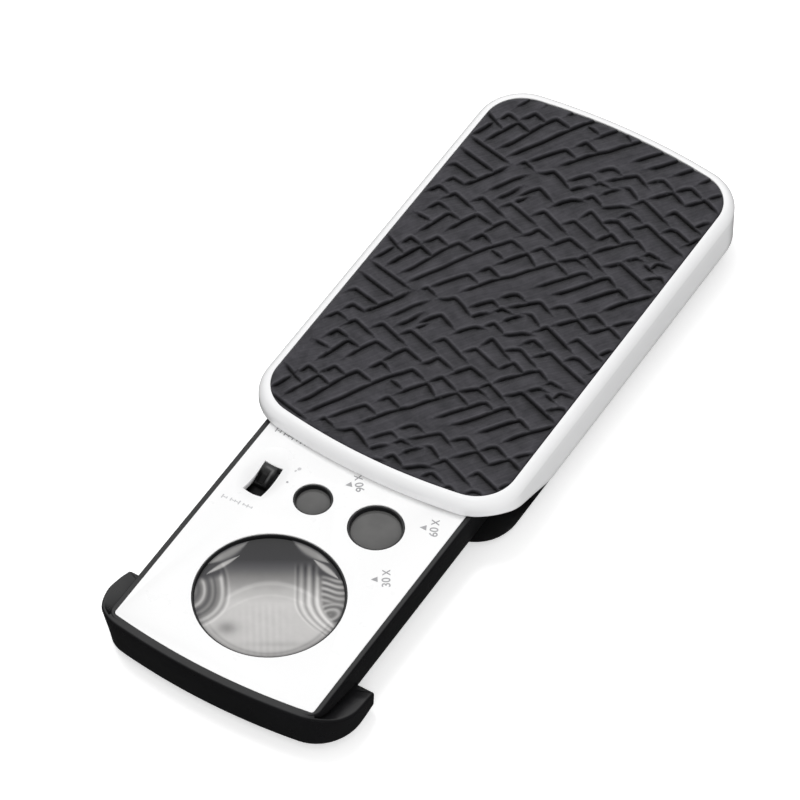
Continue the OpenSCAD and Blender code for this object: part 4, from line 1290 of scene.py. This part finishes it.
# ------------------------------------------------------------------ CAD nodes kept as they are
def dress(node, material, slot, bevel_mm):
    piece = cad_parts[node]
    piece.data.materials.clear()
    piece.data.materials.append(material)
    shade_smooth(piece.data)
    weld = piece.modifiers.new("weld", "WELD")
    weld.merge_threshold = 2e-6
    if bevel_mm:
        edges = piece.modifiers.new("bev", "BEVEL")
        edges.width = bevel_mm * MM
        edges.segments = 2
        edges.limit_method = "ANGLE"
        edges.angle_limit = radians(40)
        edges.use_clamp_overlap = True
    piece.data.set_sharp_from_angle(angle=radians(35))


# node, material, slot, bevel in mm
KEPT = [
    ("bottom_shell", SHELL_BLACK, "shell_black", 0.08),
    ("battery_door", SHELL_BLACK, "shell_black", 0.06),
    ("sleeve_screws", STEEL, "steel", 0.04),
    ("tray_screws", STEEL, "steel", 0.04),
    ("friction_springs", STEEL, "steel", 0.03),
    ("switch_housing", STEEL, "steel", 0.12),
    ("objective_60x", LENS_CLEAR, "lens_clear", 0),
    ("objective_90x", LENS_CLEAR, "lens_clear", 0),
    ("circuit_board", BOARD_GREEN, "board_green", 0.05),
    ("resistors", PART_BLACK, "component_black", 0.06),
    ("white_leds", LAMP_CLEAR, "lamp_clear", 0),
    ("uv_led", LAMP_VIOLET, "lamp_violet", 0),
    ("button_cells", CELL_STEEL, "steel", 0.12),
    ("cell_top_contacts", BRASS, "contact_brass", 0.03),
    ("cell_bottom_contacts", BRASS, "contact_brass", 0.03),
    ("cell_lid", SHELL_BLACK, "shell_black", 0.08),
    ("lead_wires", WIRE_RED, "wire_sleeve", 0)]
for row in KEPT:
    dress(*row)


# ------------------------------------------------------------------ stage, light, camera (metres)
def floor_material():
    """White sheet to the camera, dark in reflections so that black parts stay black."""
    material = bpy.data.materials.new("floor_pale")
    material.use_nodes = True
    tree = material.node_tree
    tree.nodes.clear()

    def shader(kind, values):
        node = tree.nodes.new(kind)
        feed_all(tree, node, values)
        return node.outputs[0]

    output = tree.nodes.new("ShaderNodeOutputMaterial")
    rays = tree.nodes.new("ShaderNodeLightPath").outputs
    white = shader("ShaderNodeBsdfDiffuse", {"Color": (1.0, 1.0, 1.0, 1)})
    lift = shader("ShaderNodeEmission", {"Strength": 0.385})
    seen = shader("ShaderNodeAddShader", {0: white, 1: lift})
    grey = shader("ShaderNodeBsdfDiffuse", {"Color": (0.72, 0.72, 0.72, 1)})
    dark = shader("ShaderNodeEmission", {"Strength": 0.035})
    unseen = shader("ShaderNodeMixShader", {0: rays["Is Glossy Ray"], 1: grey, 2: dark})
    surface = shader("ShaderNodeMixShader", {0: rays["Is Camera Ray"], 1: unseen, 2: seen})
    feed(tree, output.inputs["Surface"], surface)
    return material


def make_floor():
    half, z = 3, -0.0002
    corners = [(x, y, z) for x, y in rectangle(-half, half, -half, half)]
    floor = new_object("floor", corners, [(0, 1, 2, 3)], smooth=False)
    floor.data.materials.append(floor_material())


def studio_world():
    """White to the camera, soft fill for diffuse light, one bright patch for gloss."""
    fill = 0.6
    patch_direction = Vector((-0.42, 0.50, 0.76)).normalized()
    world = bpy.data.worlds.new("studio")
    world.use_nodes = True
    tree = world.node_tree
    background = tree.nodes["Background"]
    rays = tree.nodes.new("ShaderNodeLightPath").outputs
    coordinates = tree.nodes.new("ShaderNodeTexCoord")
    towards = tree.nodes.new("ShaderNodeVectorMath")
    towards.operation = "DOT_PRODUCT"
    feed_all(tree, towards, {0: coordinates.outputs["Generated"], 1: patch_direction})
    patch = spread(tree, towards.outputs["Value"], to=(0.06, 1.3), source=(0.55, 0.97))
    strength = mix(tree, rays["Is Glossy Ray"], fill, patch, kind="FLOAT")
    strength = mix(tree, rays["Is Camera Ray"], strength, 1.0, kind="FLOAT")
    feed_all(tree, background, {"Color": (1, 1, 1, 1), "Strength": strength})
    return world


def area(name, location, target, size, power):
    light = bpy.data.lights.new(name, "AREA")
    light.energy = power
    light.size = size
    lamp = link_object(name, light)
    lamp.location = location
    aim = Vector(target) - Vector(location)
    lamp.rotation_euler = aim.to_track_quat("-Z", "Y").to_euler()
    lamp.visible_glossy = False


def make_camera():
    distance, target = 1.05977, Vector((-0.00380, -0.03185, 0.0104))
    data = bpy.data.cameras.new("camera")
    data.sensor_width = 36.0
    data.lens = 241.9578
    data.clip_start = 0.05
    data.clip_end = 20
    camera = link_object("camera", data)
    back = Vector((sin(CAMERA_AZIMUTH) * cos(CAMERA_ELEVATION),
                   -cos(CAMERA_AZIMUTH) * cos(CAMERA_ELEVATION), sin(CAMERA_ELEVATION)))
    camera.location = target + back * distance
    camera.rotation_euler = (-back).to_track_quat("-Z", "Y").to_euler()
    return camera


make_floor()
scene = bpy.context.scene
scene.world = studio_world()
area("key", location=(-0.42, 0.16, 1.0), target=(0, -0.02, 0), size=0.42, power=5.0)
area("front_fill", location=(0.85, -0.62, 0.42), target=(0, -0.03, 0), size=0.8, power=5.2)
area("back_fill", location=(-0.80, 0.95, 0.40), target=(0, 0, 0), size=0.8, power=2.6)
scene.camera = make_camera()
scene.view_settings.view_transform = "Standard"
scene.view_settings.look = "None"
scene.cycles.max_bounces = 12
scene.cycles.transmission_bounces = 10
scene.cycles.use_denoising = True
